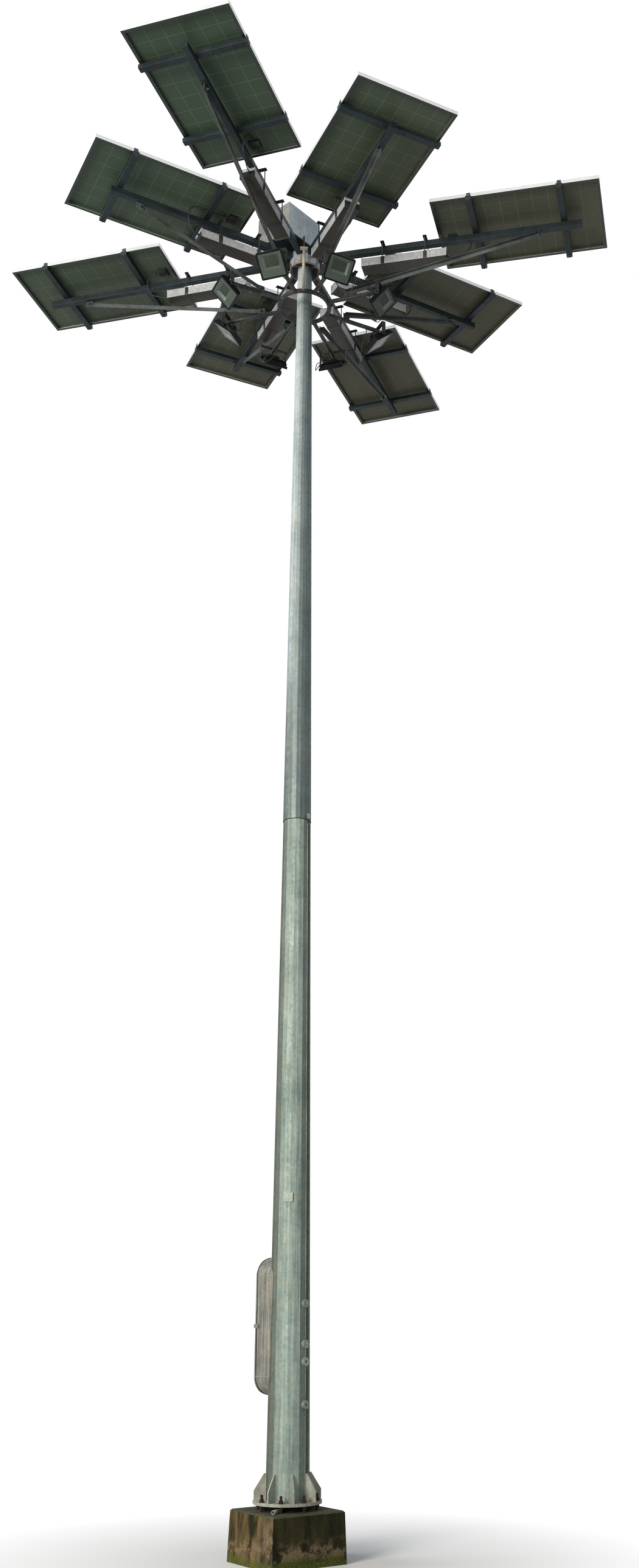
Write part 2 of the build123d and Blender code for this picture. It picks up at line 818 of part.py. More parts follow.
# Floodlight: a finned housing behind a rimmed face, pivoted on two side bolts
with BuildPart() as floodlight_blank:
    with BuildSketch(Plane.XY.offset(lamp_front - lamp_rim)):
        RectangleRounded(lamp_width, lamp_height, lamp_corner)
    extrude(amount=lamp_rim)
    with BuildSketch(Plane.XY.offset(-lamp_back + fin_height)):
        RectangleRounded(lamp_width - 2 * lamp_taper_inset, lamp_height - 2 * lamp_taper_inset,
                         lamp_corner)
    extrude(amount=lamp_front - lamp_rim + lamp_back - fin_height)
    fin_pitch = (lamp_width - 2 * lamp_taper_inset - 2 * lamp_corner) / (fin_count - 1)
    with BuildSketch(Plane.XY.offset(-lamp_back)):
        with GridLocations(fin_pitch, 1, fin_count, 1):
            Rectangle(fin_thickness, lamp_height - 2 * lamp_taper_inset - 2 * lamp_corner)
    extrude(amount=fin_height)
    with BuildSketch(Plane.XY.offset(-lamp_back - driver_depth)):
        RectangleRounded(driver_width, driver_length, 6)
    extrude(amount=driver_depth + fin_height)
    with BuildSketch(Plane.YZ):
        Circle(pivot_boss_radius)
    extrude(amount=stirrup_inner - seat_gap, both=True)
    with BuildSketch(Plane.YZ):
        Circle(pivot_bolt_radius)
    extrude(amount=stirrup_outer + seat_gap + pivot_head_length, both=True)
    for side in (-1, 1):
        start = side * (stirrup_outer + seat_gap)
        with BuildSketch(Plane.YZ.offset(start)):
            RegularPolygon(pivot_head_radius, 6)
        extrude(amount=side * pivot_head_length)
    with BuildSketch(Plane.XY.offset(lamp_front - glass_thickness)):
        RectangleRounded(lamp_width - 2 * glass_margin, lamp_height - 2 * glass_margin,
                         glass_corner)
    extrude(amount=glass_thickness, mode=Mode.SUBTRACT)
    with BuildSketch(Plane.XY.offset(lamp_front - glass_thickness)):
        with Locations((0, well_rise)):
            Rectangle(well_width, well_length)
    extrude(amount=-well_depth, taper=well_flare, mode=Mode.SUBTRACT)
    with BuildSketch(Plane.YZ.offset(driver_width / 2)):
        with Locations((0, -gland_depth)):
            Circle(gland_radius)
    extrude(amount=gland_length)

with BuildPart() as glass_blank:
    with BuildSketch(Plane.XY.offset(lamp_front - glass_thickness)):
        RectangleRounded(
            lamp_width - 2 * glass_margin - 2 * glass_clearance,
            lamp_height - 2 * glass_margin - 2 * glass_clearance,
            glass_corner - glass_clearance,
        )
    extrude(amount=glass_thickness)

# Hood: an open-bottomed sheet box standing on the arms beside the mast head
with BuildPart() as hood:
    with BuildSketch(Plane.XY.offset(arm_top_height)):
        with Locations(hood_centre):
            Rectangle(hood_side, hood_side, rotation=45)
    extrude(amount=hood_height, taper=hood_taper)
    with BuildSketch(Plane.XY.offset(arm_top_height)):
        with Locations(hood_centre):
            Rectangle(hood_side - 2 * hood_wall, hood_side - 2 * hood_wall, rotation=45)
    extrude(amount=hood_height - hood_wall, taper=hood_taper, mode=Mode.SUBTRACT)

# Pipe standing on the front of the ring, with a tee cap and a sensor stub
pipe_foot = place(head_pipe_azimuth, head_pipe_stand, ring_height - head_pipe_below)
pipe_top = head_pipe_height - tee_radius
with BuildPart() as head_pipe:
    with BuildSketch(Plane(pipe_foot)):
        Circle(head_pipe_radius)
        Circle(head_pipe_bore, mode=Mode.SUBTRACT)
    extrude(amount=pipe_top)
    with BuildSketch(Plane(pipe_foot + Vector(-tee_length / 2, 0, pipe_top), x_dir=(0, 1, 0),
                           z_dir=(1, 0, 0))):
        Circle(tee_radius)
    extrude(amount=tee_length)
    add(lantern_ring.part, mode=Mode.SUBTRACT)

with BuildPart() as head_sensor:
    with BuildSketch(Plane(pipe_foot + Vector(0, 0, pipe_top))):
        Circle(sensor_radius)
    extrude(amount=tee_radius + sensor_height)
    add(head_pipe.part, mode=Mode.SUBTRACT)

# Panel leads: from each junction box along the panel's inner end, then looped down past
# the arm's side into the battery box's outer end
lead_height = laminate_base - junction_depth / 2
lead_solids = []
for petal in petals:
    petal_plane = along(petal["azimuth"])
    start, end = petal["battery"]
    box_face = petal["centre"] - panel_length / 2 + junction_inset + junction_length / 2
    turn = max(box_face + 75, end + 70)
    corners = [(box_face, junction_offset, lead_height)]
    if turn - box_face > 200:
        corners.append((box_face + 110, junction_offset, lead_height))
        corners.append((box_face + 225, junction_offset + 6, lead_height - 2))
    corners += [
        (turn, junction_offset, lead_height),
        (turn + 62, junction_offset - 10, lead_height - 45),
        (turn + 66, junction_offset - 32, lead_height - 125),
        (turn + 30, junction_offset - 48, lead_height - 200),
        (end + 55, junction_offset - 64, battery_base + battery_height / 2),
        (end, junction_offset - 64, battery_base + battery_height / 2),
    ]
    lead_solids.append(cable([petal_plane.from_local_coords(c) for c in corners],
                             panel_lead_radius))

with BuildPart() as panel_leads:
    for lead in lead_solids:
        add(lead)

# Lamp leads: out of a grommet under each lamp arm and round to the gland on the driver's side
gland_reach = driver_width / 2 + gland_length + seat_gap
pitch_angle = radians(lamp_pitch)
gland_out = pivot_radius - gland_depth * cos(pitch_angle)
gland_up = pivot_height + gland_depth * sin(pitch_angle)
grommet_base = ring_height - lamp_arm_radius - grommet_drop
lead_sway = [0.0, 14.0, -12.0, 9.0, -16.0, 12.0, -6.0, 6.0]
lead_solids = []
for azimuth, sway in zip(lamp_azimuths, lead_sway):
    lamp_plane = along(azimuth)
    corners = [
        (lamp_lead_exit, 0, grommet_base),
        (lamp_lead_exit, 0, grommet_base - 46),
        (lamp_lead_exit - 24, 40, grommet_base - 118 - sway / 2),
        (lamp_lead_exit - 10, 110, grommet_base - 193 - sway),
        (lamp_lead_exit + 35, 170 + sway / 2, grommet_base - 208 - sway),
        (lamp_lead_exit + 70, 182 + sway / 2, grommet_base - 148 - sway / 2),
        (lamp_lead_exit + 82, 166, grommet_base - 70),
        (gland_out, gland_reach + 50, gland_up),
        (gland_out, gland_reach, gland_up),
    ]
    lead_solids.append(cable([lamp_plane.from_local_coords(c) for c in corners],
                             lamp_lead_radius))

with BuildPart() as lamp_leads:
    for lead in lead_solids:
        add(lead)

nodes = {
    "concrete_plinth": concrete_plinth.part,
    "grout_pad": grout_pad.part,
    "drain_pipe": drain_pipe.part,
    "base_flange": base_flange.part,
    "anchor_studs": anchor_studs.part,
    "anchor_nuts": anchor_nuts.part,
    "base_gussets": base_gussets.part,
    "mast_foot": mast_foot.part,
    "mast_door_length": mast_door_length.part,
    "mast_lower": mast_lower.part,
    "mast_upper": mast_upper.part,
    "door_frame": door_frame.part,
    "door_gasket": door_gasket.part,
    "service_door": service_door.part,
    "door_hinges": door_hinges.part,
    "door_latch": door_latch.part,
    "earth_bosses": earth_bosses.part,
    "blank_plate": blank_plate.part,
    "joint_lug": joint_lug.part,
    "mast_hub": mast_hub.part,
    "panel_arms": panel_arms.part,
    "arm_rails": arm_rails.part,
    "panel_frames": panel_frames.part,
    "panel_laminates": panel_laminates.part,
    "junction_boxes": junction_boxes.part,
    "battery_boxes": battery_boxes.part,
    "battery_straps": battery_straps.part,
    "lantern_ring": lantern_ring.part,
    "lamp_arms": lamp_arms.part,
    "strut_tabs": strut_tabs.part,
    "struts": struts.part,
    "lamp_stirrups": lamp_stirrups.part,
    "hood": hood.part,
    "head_pipe": head_pipe.part,
    "head_sensor": head_sensor.part,
    "panel_leads": panel_leads.part,
    "lamp_leads": lamp_leads.part,
}

# Each floodlight and its glass, turned to face outwards and down about its pivot
for letter, azimuth in zip("abcdefgh", lamp_azimuths):
    out = heading(azimuth)
    pitch = radians(lamp_pitch)
    face = Plane(
        place(azimuth, pivot_radius, pivot_height),
        x_dir=(-out.Y, out.X, 0),
        z_dir=(out.X * cos(pitch), out.Y * cos(pitch), -sin(pitch)),
    )
    nodes["floodlight_" + letter] = face.location * floodlight_blank.part
    nodes["lamp_glass_" + letter] = face.location * glass_blank.part

for name, solid in nodes.items():
    solid.label = name
    export_step(solid, "parts/" + name + ".step")
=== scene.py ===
"""Solar high mast floodlight tower: looks, small fittings and light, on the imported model."""

import math
import random

import bmesh
import bpy
from mathutils import Matrix, Vector
from mathutils.bvhtree import BVHTree


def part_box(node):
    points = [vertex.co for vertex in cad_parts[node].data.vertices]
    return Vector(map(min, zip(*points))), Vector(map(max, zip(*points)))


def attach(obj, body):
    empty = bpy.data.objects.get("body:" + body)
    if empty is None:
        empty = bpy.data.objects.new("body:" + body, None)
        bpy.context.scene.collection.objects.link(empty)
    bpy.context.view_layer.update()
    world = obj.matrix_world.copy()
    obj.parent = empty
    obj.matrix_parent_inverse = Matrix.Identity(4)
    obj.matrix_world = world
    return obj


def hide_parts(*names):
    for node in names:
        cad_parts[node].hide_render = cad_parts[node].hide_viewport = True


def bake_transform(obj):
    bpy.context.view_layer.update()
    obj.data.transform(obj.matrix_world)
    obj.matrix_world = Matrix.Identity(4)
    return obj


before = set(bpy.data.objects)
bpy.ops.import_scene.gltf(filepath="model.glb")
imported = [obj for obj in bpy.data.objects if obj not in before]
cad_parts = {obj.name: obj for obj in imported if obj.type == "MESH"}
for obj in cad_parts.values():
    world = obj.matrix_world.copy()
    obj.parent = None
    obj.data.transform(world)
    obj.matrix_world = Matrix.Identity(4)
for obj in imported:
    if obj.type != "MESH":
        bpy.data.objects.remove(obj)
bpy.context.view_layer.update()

# --- Camera ---
# A tall view from just over head height, about fourteen metres off and looking up a little,
# with the mast's foot near the bottom. The lens is given for a film 36 mm tall.
scene = bpy.context.scene


def linked(name, data):
    """Object made of some data, in the scene."""
    thing = bpy.data.objects.new(name, data)
    scene.collection.objects.link(thing)
    return thing


camera_data = bpy.data.cameras.new("camera")
camera = linked("camera", camera_data)
scene.camera = camera
camera_data.sensor_fit = "AUTO"
camera_data.sensor_width = 36.0
camera_data.lens = 34.79674
camera_data.shift_x = -0.070342
camera_data.shift_y = 0.156871
camera_data.clip_start = 0.1
camera_data.clip_end = 200.0
camera.matrix_world = (
    Matrix.Translation((-0.1045, -13.9115, 2.258))
    @ Matrix.Rotation(math.radians(-5.628), 4, "Z")
    @ Matrix.Rotation(math.radians(90 + 10.113), 4, "X")
    @ Matrix.Rotation(math.radians(-0.099), 4, "Z")
)

# --- Floor, sky and lamps ---
# A pale studio floor under an even white sky. The floor keeps the tower's soft shadow near
# the plinth and runs out to plain white. One large soft lamp stands in front to the left
# and a smaller one lights the left edge from beside.
scene.view_settings.view_transform = "Standard"


def linear(code):
    """sRGB hex colour as linear RGBA."""
    parts = [int(code[i:i + 2], 16) / 255 for i in (1, 3, 5)]
    return [c / 12.92 if c <= 0.04045 else ((c + 0.055) / 1.055) ** 2.4 for c in parts] + [1.0]


def plug(node, **inputs):
    """Gives a node its inputs, by name or by number as _0.

    A node or a socket is linked, and a value or a hex colour is set.
    """
    for name, value in inputs.items():
        socket = node.inputs[int(name[1:]) if name[0] == "_" else name.replace("_", " ")]
        if isinstance(value, bpy.types.Node):
            value = value.outputs[2 if getattr(value, "data_type", "") == "RGBA" else 0]
        if isinstance(value, bpy.types.NodeSocket):
            node.id_data.links.new(value, socket)
        else:
            socket.default_value = linear(value) if isinstance(value, str) else value
    return node


def add(tree, kind, **given):
    """Adds a shader node: lower-case names are its settings, the others its inputs.

    A Mix node mixes colours unless its data_type says otherwise.
    """
    node = tree.nodes.new("ShaderNode" + kind)
    if kind == "Mix":
        node.data_type = "RGBA"
    settings = [name for name in given if name[0].islower()]
    for name in settings:
        setattr(node, name, given.pop(name))
    return plug(node, **given)


def sees_white(tree):
    """1 for camera, mirror and see-through rays, which are shown plain white."""
    rays = add(tree, "LightPath")
    mirrored = add(tree, "Math", operation="MAXIMUM", _0=rays.outputs["Is Glossy Ray"],
                   _1=rays.outputs["Is Transmission Ray"])
    return add(tree, "Math", operation="MAXIMUM", _0=rays.outputs["Is Camera Ray"], _1=mirrored)


world = bpy.data.worlds.new("white_sky")
scene.world = world
world.use_nodes = True
sky = world.node_tree
sky.nodes.clear()
even_light = add(sky, "Background", Color="#f2f6fa", Strength=0.38)
plain_white = add(sky, "Background", Color=(1, 1, 1, 1), Strength=1.0)
sky_mix = add(sky, "MixShader", _0=sees_white(sky), _1=even_light, _2=plain_white)
add(sky, "OutputWorld", Surface=sky_mix)

floor_mesh = bpy.data.meshes.new("studio_floor")
floor_mesh.from_pydata([(-60, -60, 0), (60, -60, 0), (60, 60, 0), (-60, 60, 0)], [],
                       [(0, 1, 2, 3)])
studio_floor = linked("studio_floor", floor_mesh)
studio_floor.location.z = -0.001

# Matt paint close to the plinth, where it takes the shadow, and plain white further out.
floor_paint = bpy.data.materials.new("pale_matt_floor")
floor_paint.use_nodes = True
floor_mesh.materials.append(floor_paint)
tree = floor_paint.node_tree
tree.nodes.clear()
where = add(tree, "NewGeometry")
reach = add(tree, "VectorMath", operation="LENGTH", _0=where.outputs["Position"])
fade = add(tree, "MapRange", Value=reach.outputs["Value"], From_Min=0.9, From_Max=3.4)
paint = add(tree, "BsdfDiffuse", Color="#f4f4f2")
glow = add(tree, "Emission", Color=(1, 1, 1, 1), Strength=1.0)
near = add(tree, "MixShader", _0=fade, _1=paint, _2=glow)
dull = add(tree, "BsdfDiffuse", Color="#7d7f78")
both = add(tree, "MixShader", _0=sees_white(tree), _1=dull, _2=near)
add(tree, "OutputMaterial", Surface=both)


def soft_lamp(name, place, aim, size, power, tint):
    """Large square area lamp at a place, aimed at a point."""
    data = bpy.data.lights.new(name, "AREA")
    data.size = size
    data.energy = power
    data.color = linear(tint)[:3]
    lamp = linked(name, data)
    lamp.location = place
    lamp.rotation_mode = "QUATERNION"
    lamp.rotation_quaternion = (Vector(aim) - Vector(place)).to_track_quat("-Z", "Y")


soft_lamp("key_left", (-13, -17, 9), (0, 0, 6.5), 9, 4300, "#fff8ee")
soft_lamp("rim_left", (-20, 3, 15), (0, 0, 8.5), 8, 1500, "#f2f7ff")

# --- Lamp leads ---
# Round rubber-sheathed leads, 8 mm thick, one to each floodlight: out of a grommet under the
# lamp arm, down in a loose hanging loop beside the lamp and into the gland on its back.


def new_material(name):
    """Node material: its tree, its Principled shader and the mesh's own coordinates."""
    material = bpy.data.materials.new(name)
    material.use_nodes = True
    tree = material.node_tree
    tree.nodes.clear()
    shader = add(tree, "BsdfPrincipled")
    add(tree, "OutputMaterial", Surface=shader)
    return material, tree, shader, add(tree, "TexCoord").outputs["Object"]


def two_toned(name, patch_mm, detail, deep, pale, grain=0.5, relief=None, **looks):
    """Material that wanders between two tones, in patches of a size in millimetres.

    Relief is a bump's grain in millimetres, its detail, strength and depth in metres.
    """
    material, tree, shader, spot = new_material(name)
    noise = add(tree, "TexNoise", Vector=spot, Scale=1000 / patch_mm, Detail=detail,
                Roughness=grain)
    plug(shader, Base_Color=add(tree, "Mix", _0=noise, _6=deep, _7=pale), **looks)
    if relief:
        grain_mm, fineness, strength, depth = relief
        bumps = add(tree, "TexNoise", Vector=spot, Scale=1000 / grain_mm, Detail=fineness,
                    Roughness=grain)
        plug(shader, Normal=add(tree, "Bump", Strength=strength, Distance=depth, Height=bumps))
    return material


def heading(azimuth):
    """Level unit vector of an azimuth in degrees, from the front towards the right."""
    turn = math.radians(azimuth)
    return Vector((math.sin(turn), -math.cos(turn), 0))


def sideways(azimuth):
    """Level unit vector square to an azimuth, to the right seen from outside."""
    turn = math.radians(azimuth)
    return Vector((math.cos(turn), math.sin(turn), 0))


def up(height):
    """Vector straight up by a height."""
    return Vector((0, 0, height))


def dressed(shell, name, material, body="tower", corner=40, outward=True):
    """Makes a piece of a bmesh, on its body.

    It is smooth except at edges sharper than the corner in degrees; 0 leaves it flat.
    """
    if outward:
        bmesh.ops.recalc_face_normals(shell, faces=shell.faces)
    mesh = bpy.data.meshes.new(name)
    shell.to_mesh(mesh)
    shell.free()
    mesh.materials.append(material)
    if corner:
        mesh.polygons.foreach_set("use_smooth", [True] * len(mesh.polygons))
        mesh.set_sharp_from_angle(angle=math.radians(corner))
    piece = linked(name, mesh)
    if body:
        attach(piece, body)
    return piece


def loft(shell, rings, capped=True):
    """Skins a row of rings with quads in a bmesh, and caps the two ends."""
    rows = [[shell.verts.new(point) for point in ring] for ring in rings]
    for low, high in zip(rows, rows[1:]):
        for i in range(len(low)):
            j = (i + 1) % len(low)
            shell.faces.new((low[i], low[j], high[j], high[i]))
    if capped:
        shell.faces.new(rows[0][::-1])
        shell.faces.new(rows[-1])


def tube(shell, path, radii, sides):
    """Adds a round tube along a path, its rings carried along without twist."""
    rings = []
    across = None
    for i, point in enumerate(path):
        ahead = path[min(i + 1, len(path) - 1)] - path[max(i - 1, 0)]
        ahead.normalize()
        if across is None:
            across = ahead.orthogonal().normalized()
        across = (across - ahead * across.dot(ahead)).normalized()
        aside = ahead.cross(across)
        turns = [2 * math.pi * k / sides for k in range(sides)]
        rings.append([point + radii[i] * (across * math.cos(t) + aside * math.sin(t))
                      for t in turns])
    loft(shell, rings)


def spline_path(name, corners):
    """Points along one smooth NURBS spline that has the corners as its control points."""
    curve = bpy.data.curves.new(name, "CURVE")
    curve.dimensions = "3D"
    curve.resolution_u = 8
    spline = curve.splines.new("NURBS")
    spline.points.add(len(corners) - 1)
    for point, corner in zip(spline.points, corners):
        point.co = (*corner, 1)
    spline.order_u = 3
    spline.use_endpoint_u = True
    holder = bpy.data.objects.new(name, curve)
    traced = bpy.data.meshes.new_from_object(holder)
    path = [v.co.copy() for v in traced.vertices]
    bpy.data.objects.remove(holder)
    bpy.data.meshes.remove(traced)
    bpy.data.curves.remove(curve)
    return path


# Rubber sheath: matt black, dulled grey in places by dust and sun.
sheath_rubber = two_toned("rubber_cable_sheath", 71.4, 4.0, "#151718", "#2b2e2e")
tree = sheath_rubber.node_tree
dulled = add(tree, "MapRange", Value=tree.nodes["Noise Texture"], To_Min=0.42, To_Max=0.7)
plug(tree.nodes["Principled BSDF"], Roughness=dulled)

LETTERS = "abcdefgh"
LAMP_AZIMUTHS = [-22.5 + 45 * k for k in range(8)]
PIVOT_RADIUS = 0.828
PIVOT_HEIGHT = 12.080
LAMP_PITCH = math.radians(50)
GLAND_BACK = 0.036
GLAND_SIDE = 0.0623
GROMMET_RADIUS = 0.700
GROMMET_HEIGHT = 12.1585
LEAD_RADIUS = 0.004
LEAD_SWAY = [0.0, 0.014, -0.012, 0.009, -0.016, 0.012, -0.006, 0.006]
LEAD_LENGTHS = [0.552, 0.582, 0.527, 0.571, 0.519, 0.577, 0.540, 0.565]
gland_out = PIVOT_RADIUS - GLAND_BACK * math.cos(LAMP_PITCH)
gland_up = PIVOT_HEIGHT + GLAND_BACK * math.sin(LAMP_PITCH)
for letter, azimuth, sway, length in zip(LETTERS, LAMP_AZIMUTHS, LEAD_SWAY, LEAD_LENGTHS):
    out = heading(azimuth)
    side = sideways(azimuth)
    # Distance out, distance aside and height of each point of the loop.
    route = [
        (GROMMET_RADIUS, 0, GROMMET_HEIGHT),
        (GROMMET_RADIUS, 0, GROMMET_HEIGHT - 0.046),
        (0.676, 0.040, GROMMET_HEIGHT - 0.118 - sway / 2),
        (0.690, 0.110, GROMMET_HEIGHT - 0.193 - sway),
        (0.735, 0.170 + sway / 2, GROMMET_HEIGHT - 0.208 - sway),
        (0.770, 0.182 + sway / 2, GROMMET_HEIGHT - 0.148 - sway / 2),
        (0.782, 0.166, GROMMET_HEIGHT - 0.070),
        (gland_out, GLAND_SIDE + 0.050, gland_up),
        (gland_out, GLAND_SIDE, gland_up),
    ]
    corners = [out * r + side * t + up(z) for r, t, z in route]
    path = spline_path("lamp_lead_" + letter, corners)
    shell = bmesh.new()
    tube(shell, path, [LEAD_RADIUS] * len(path), 12)
    lead = dressed(shell, "lamp_lead_" + letter, sheath_rubber, None, 60)
    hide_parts("lamp_leads")
    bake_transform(lead)

# --- Plinth, grout and drain pipe ---
# A cast concrete block, outdoors for years: dark with algae and rain streaks, bare and
# tan where it has spalled, and mossy at the ground. Dark grout is packed under the flange.


def finish_with(material, *node_names):
    """Puts a material in every slot of the named CAD nodes."""
    for name in node_names:
        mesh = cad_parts[name].data
        if not mesh.materials:
            mesh.materials.append(material)
        for index in range(len(mesh.materials)):
            mesh.materials[index] = material


def squareness(tree, direction, normal="True Normal"):
    """How squarely a surface looks along a direction: 1 full on, 0 edge on, -1 away."""
    where = add(tree, "NewGeometry")
    return add(tree, "VectorMath", operation="DOT_PRODUCT", _0=where.outputs[normal],
               _1=tuple(direction)).outputs["Value"]


weathered_concrete, tree, shader, spot = new_material("mossy_cast_concrete")
height = add(tree, "SeparateXYZ", Vector=spot).outputs["Z"]
# Rain runs down the sides, so the algae lies in upright bands about 110 mm wide. It clouds
# in patches of about 140 mm, and the sand and grit beneath are about 12 mm across.
rain = add(tree, "Mapping", Vector=spot, Scale=(9.0, 9.0, 1.6))
runs = add(tree, "TexNoise", Vector=rain, Scale=1.0, Detail=5.0, Roughness=0.55, Distortion=0.5)
cloud = add(tree, "TexNoise", Vector=spot, Scale=7.0, Detail=8.0, Roughness=0.7)
grain = add(tree, "TexNoise", Vector=spot, Scale=85.0, Detail=6.0, Roughness=0.75)
sunny = squareness(tree, heading(-58.4))
dry = add(tree, "MapRange", Value=sunny, From_Min=0.3, From_Max=0.8)
run_share = add(tree, "MapRange", Value=runs, From_Min=0.40, From_Max=0.62)
dry_side = add(tree, "Mix", _0=run_share, _6="#252310", _7="#85704a")
damp_side = add(tree, "Mix", _0=run_share, _6="#17180b", _7="#3d3c22")
film = add(tree, "Mix", _0=dry, _6=damp_side, _7=dry_side)
on_top = add(tree, "Math", operation="GREATER_THAN", _0=squareness(tree, up(1)), _1=0.5)
top_tone = add(tree, "Mix", _0=cloud, _6="#1d1d14", _7="#6f705a")
film_all = add(tree, "Mix", _0=on_top, _6=film, _7=top_tone)
# Bare concrete: a ragged band over the ground and a spalled patch down the front corner.
band_low = add(tree, "MapRange", interpolation_type="SMOOTHSTEP", Value=height,
               From_Min=0.05, From_Max=0.10)
band_high = add(tree, "MapRange", interpolation_type="SMOOTHSTEP", Value=height,
                From_Min=0.27, From_Max=0.14)
band = add(tree, "Math", operation="MULTIPLY", _0=band_low, _1=band_high)
worn = add(tree, "MapRange", Value=cloud, From_Min=0.47, From_Max=0.56)
bare_band = add(tree, "Math", operation="MULTIPLY", _0=band, _1=worn)
corner_at = add(tree, "VectorMath", operation="DISTANCE", _0=spot,
                _1=tuple(heading(-17.0) * 0.50 + up(0.26)))
corner_near = add(tree, "MapRange", interpolation_type="SMOOTHSTEP",
                  Value=corner_at.outputs["Value"], From_Min=0.24, From_Max=0.05)
chipped = add(tree, "MapRange", Value=cloud, From_Min=0.38, From_Max=0.52)
bare_corner = add(tree, "Math", operation="MULTIPLY", _0=corner_near, _1=chipped)
dry_corner = add(tree, "Math", operation="MULTIPLY", _0=bare_corner, _1=dry)
bare = add(tree, "Math", operation="MAXIMUM", _0=bare_band, _1=dry_corner)
bare_share = add(tree, "Math", operation="MULTIPLY", _0=bare, _1=0.8)
bare_tone = add(tree, "Mix", _0=grain, _6="#6d5433", _7="#b3a184")
sides = add(tree, "Mix", _0=bare_share, _6=film_all, _7=bare_tone)
# Moss: thick at the ground, then in tufts up the faces and along the arrises.
low_down = add(tree, "MapRange", Value=height, From_Min=0.0, From_Max=0.13, To_Min=0.27,
               To_Max=-0.01)
tufts = add(tree, "Math", operation="MULTIPLY_ADD", _0=grain, _1=0.55, _2=low_down)
spread = add(tree, "Math", operation="MULTIPLY_ADD", _0=cloud, _1=0.6, _2=tufts)
moss_edge = add(tree, "MapRange", interpolation_type="SMOOTHSTEP", Value=spread,
                From_Min=0.63, From_Max=0.80, To_Max=0.85)
moss_tone = add(tree, "Mix", _0=grain, _6="#181e08", _7="#7c873a")
coat = add(tree, "Mix", _0=moss_edge, _6=sides, _7=moss_tone)
speck = add(tree, "MapRange", Value=grain, From_Min=0.34, From_Max=0.68, To_Min=0.5, To_Max=1.45)
speckled = add(tree, "Mix", blend_type="MULTIPLY", _0=1.0, _6=coat, _7=speck)
relief = add(tree, "Math", operation="ADD", _0=grain, _1=cloud)
rough_cast = add(tree, "Bump", Strength=1.0, Distance=0.009, Height=relief)
plug(shader, Base_Color=speckled, Roughness=0.95, Specular_IOR_Level=0.2, Normal=rough_cast)
finish_with(weathered_concrete, "concrete_plinth")

# Trowelled grout, lumpy at 18 mm and nearly black with damp.
dark_grout = two_toned("damp_bedding_grout", 18.2, 5.0, "#080706", "#242019", grain=0.7,
                       relief=(18.2, 5.0, 0.9, 0.006), Roughness=0.95, Specular_IOR_Level=0.2)
finish_with(dark_grout, "grout_pad")

# Rigid PVC conduit, gone off-white and dusty.
aged_pvc = two_toned("weathered_rigid_pvc", 33.3, 3.0, "#a9a596", "#dedbcf",
                     Roughness=0.55, IOR=1.53)
finish_with(aged_pvc, "drain_pipe")

# --- Anchor bolts ---
# Eight M24 cast-in studs with levelling and clamping nuts and washers, rusted all over.
# The studs' threads stand at their real 3 mm pitch.
THREAD_PITCH = 0.003

# Rolled steel left bare: deep brown rust. Its scale is a millimetre or two across and is
# drawn at 8 mm, so that it shows, in patches of about 36 mm.
rusted_steel, tree, shader, spot = new_material("rusted_threaded_steel")
scale_noise = add(tree, "TexNoise", Vector=spot, Scale=130.0, Detail=5.0)
patches = add(tree, "TexNoise", Vector=spot, Scale=28.0, Detail=3.0)
tone = add(tree, "Mix", _0=scale_noise, _6="#1a0c07", _7="#4a281b")
tone = add(tree, "Mix", _0=patches, _6=tone, _7="#33190f")
height = add(tree, "SeparateXYZ", Vector=spot).outputs["Z"]
pitch_turn = add(tree, "Math", operation="MULTIPLY", _0=height, _1=2 * math.pi / THREAD_PITCH)
thread = add(tree, "Math", operation="SINE", _0=pitch_turn)
profile = add(tree, "Math", operation="MULTIPLY_ADD", _0=thread, _1=0.5, _2=scale_noise)
cut_thread = add(tree, "Bump", Strength=0.7, Distance=0.0015, Height=profile)
plug(shader, Base_Color=tone, Roughness=0.85, Metallic=0.15, Normal=cut_thread)
finish_with(rusted_steel, "anchor_studs")

# Forged nuts: the same rust, darker, with its pits drawn coarse at 9 mm.
rusted_nut_steel = two_toned("rusted_forged_nut_steel", 9.1, 5.0, "#150906", "#45251a",
                             relief=(9.1, 5.0, 0.6, 0.0012), Roughness=0.88, Metallic=0.15)
finish_with(rusted_nut_steel, "anchor_nuts")

# --- Base flange and gussets ---
# Thick plate, hot-dip galvanised with the mast and dusty on top. A weld runs round the
# mast's foot and down both sides of each gusset.


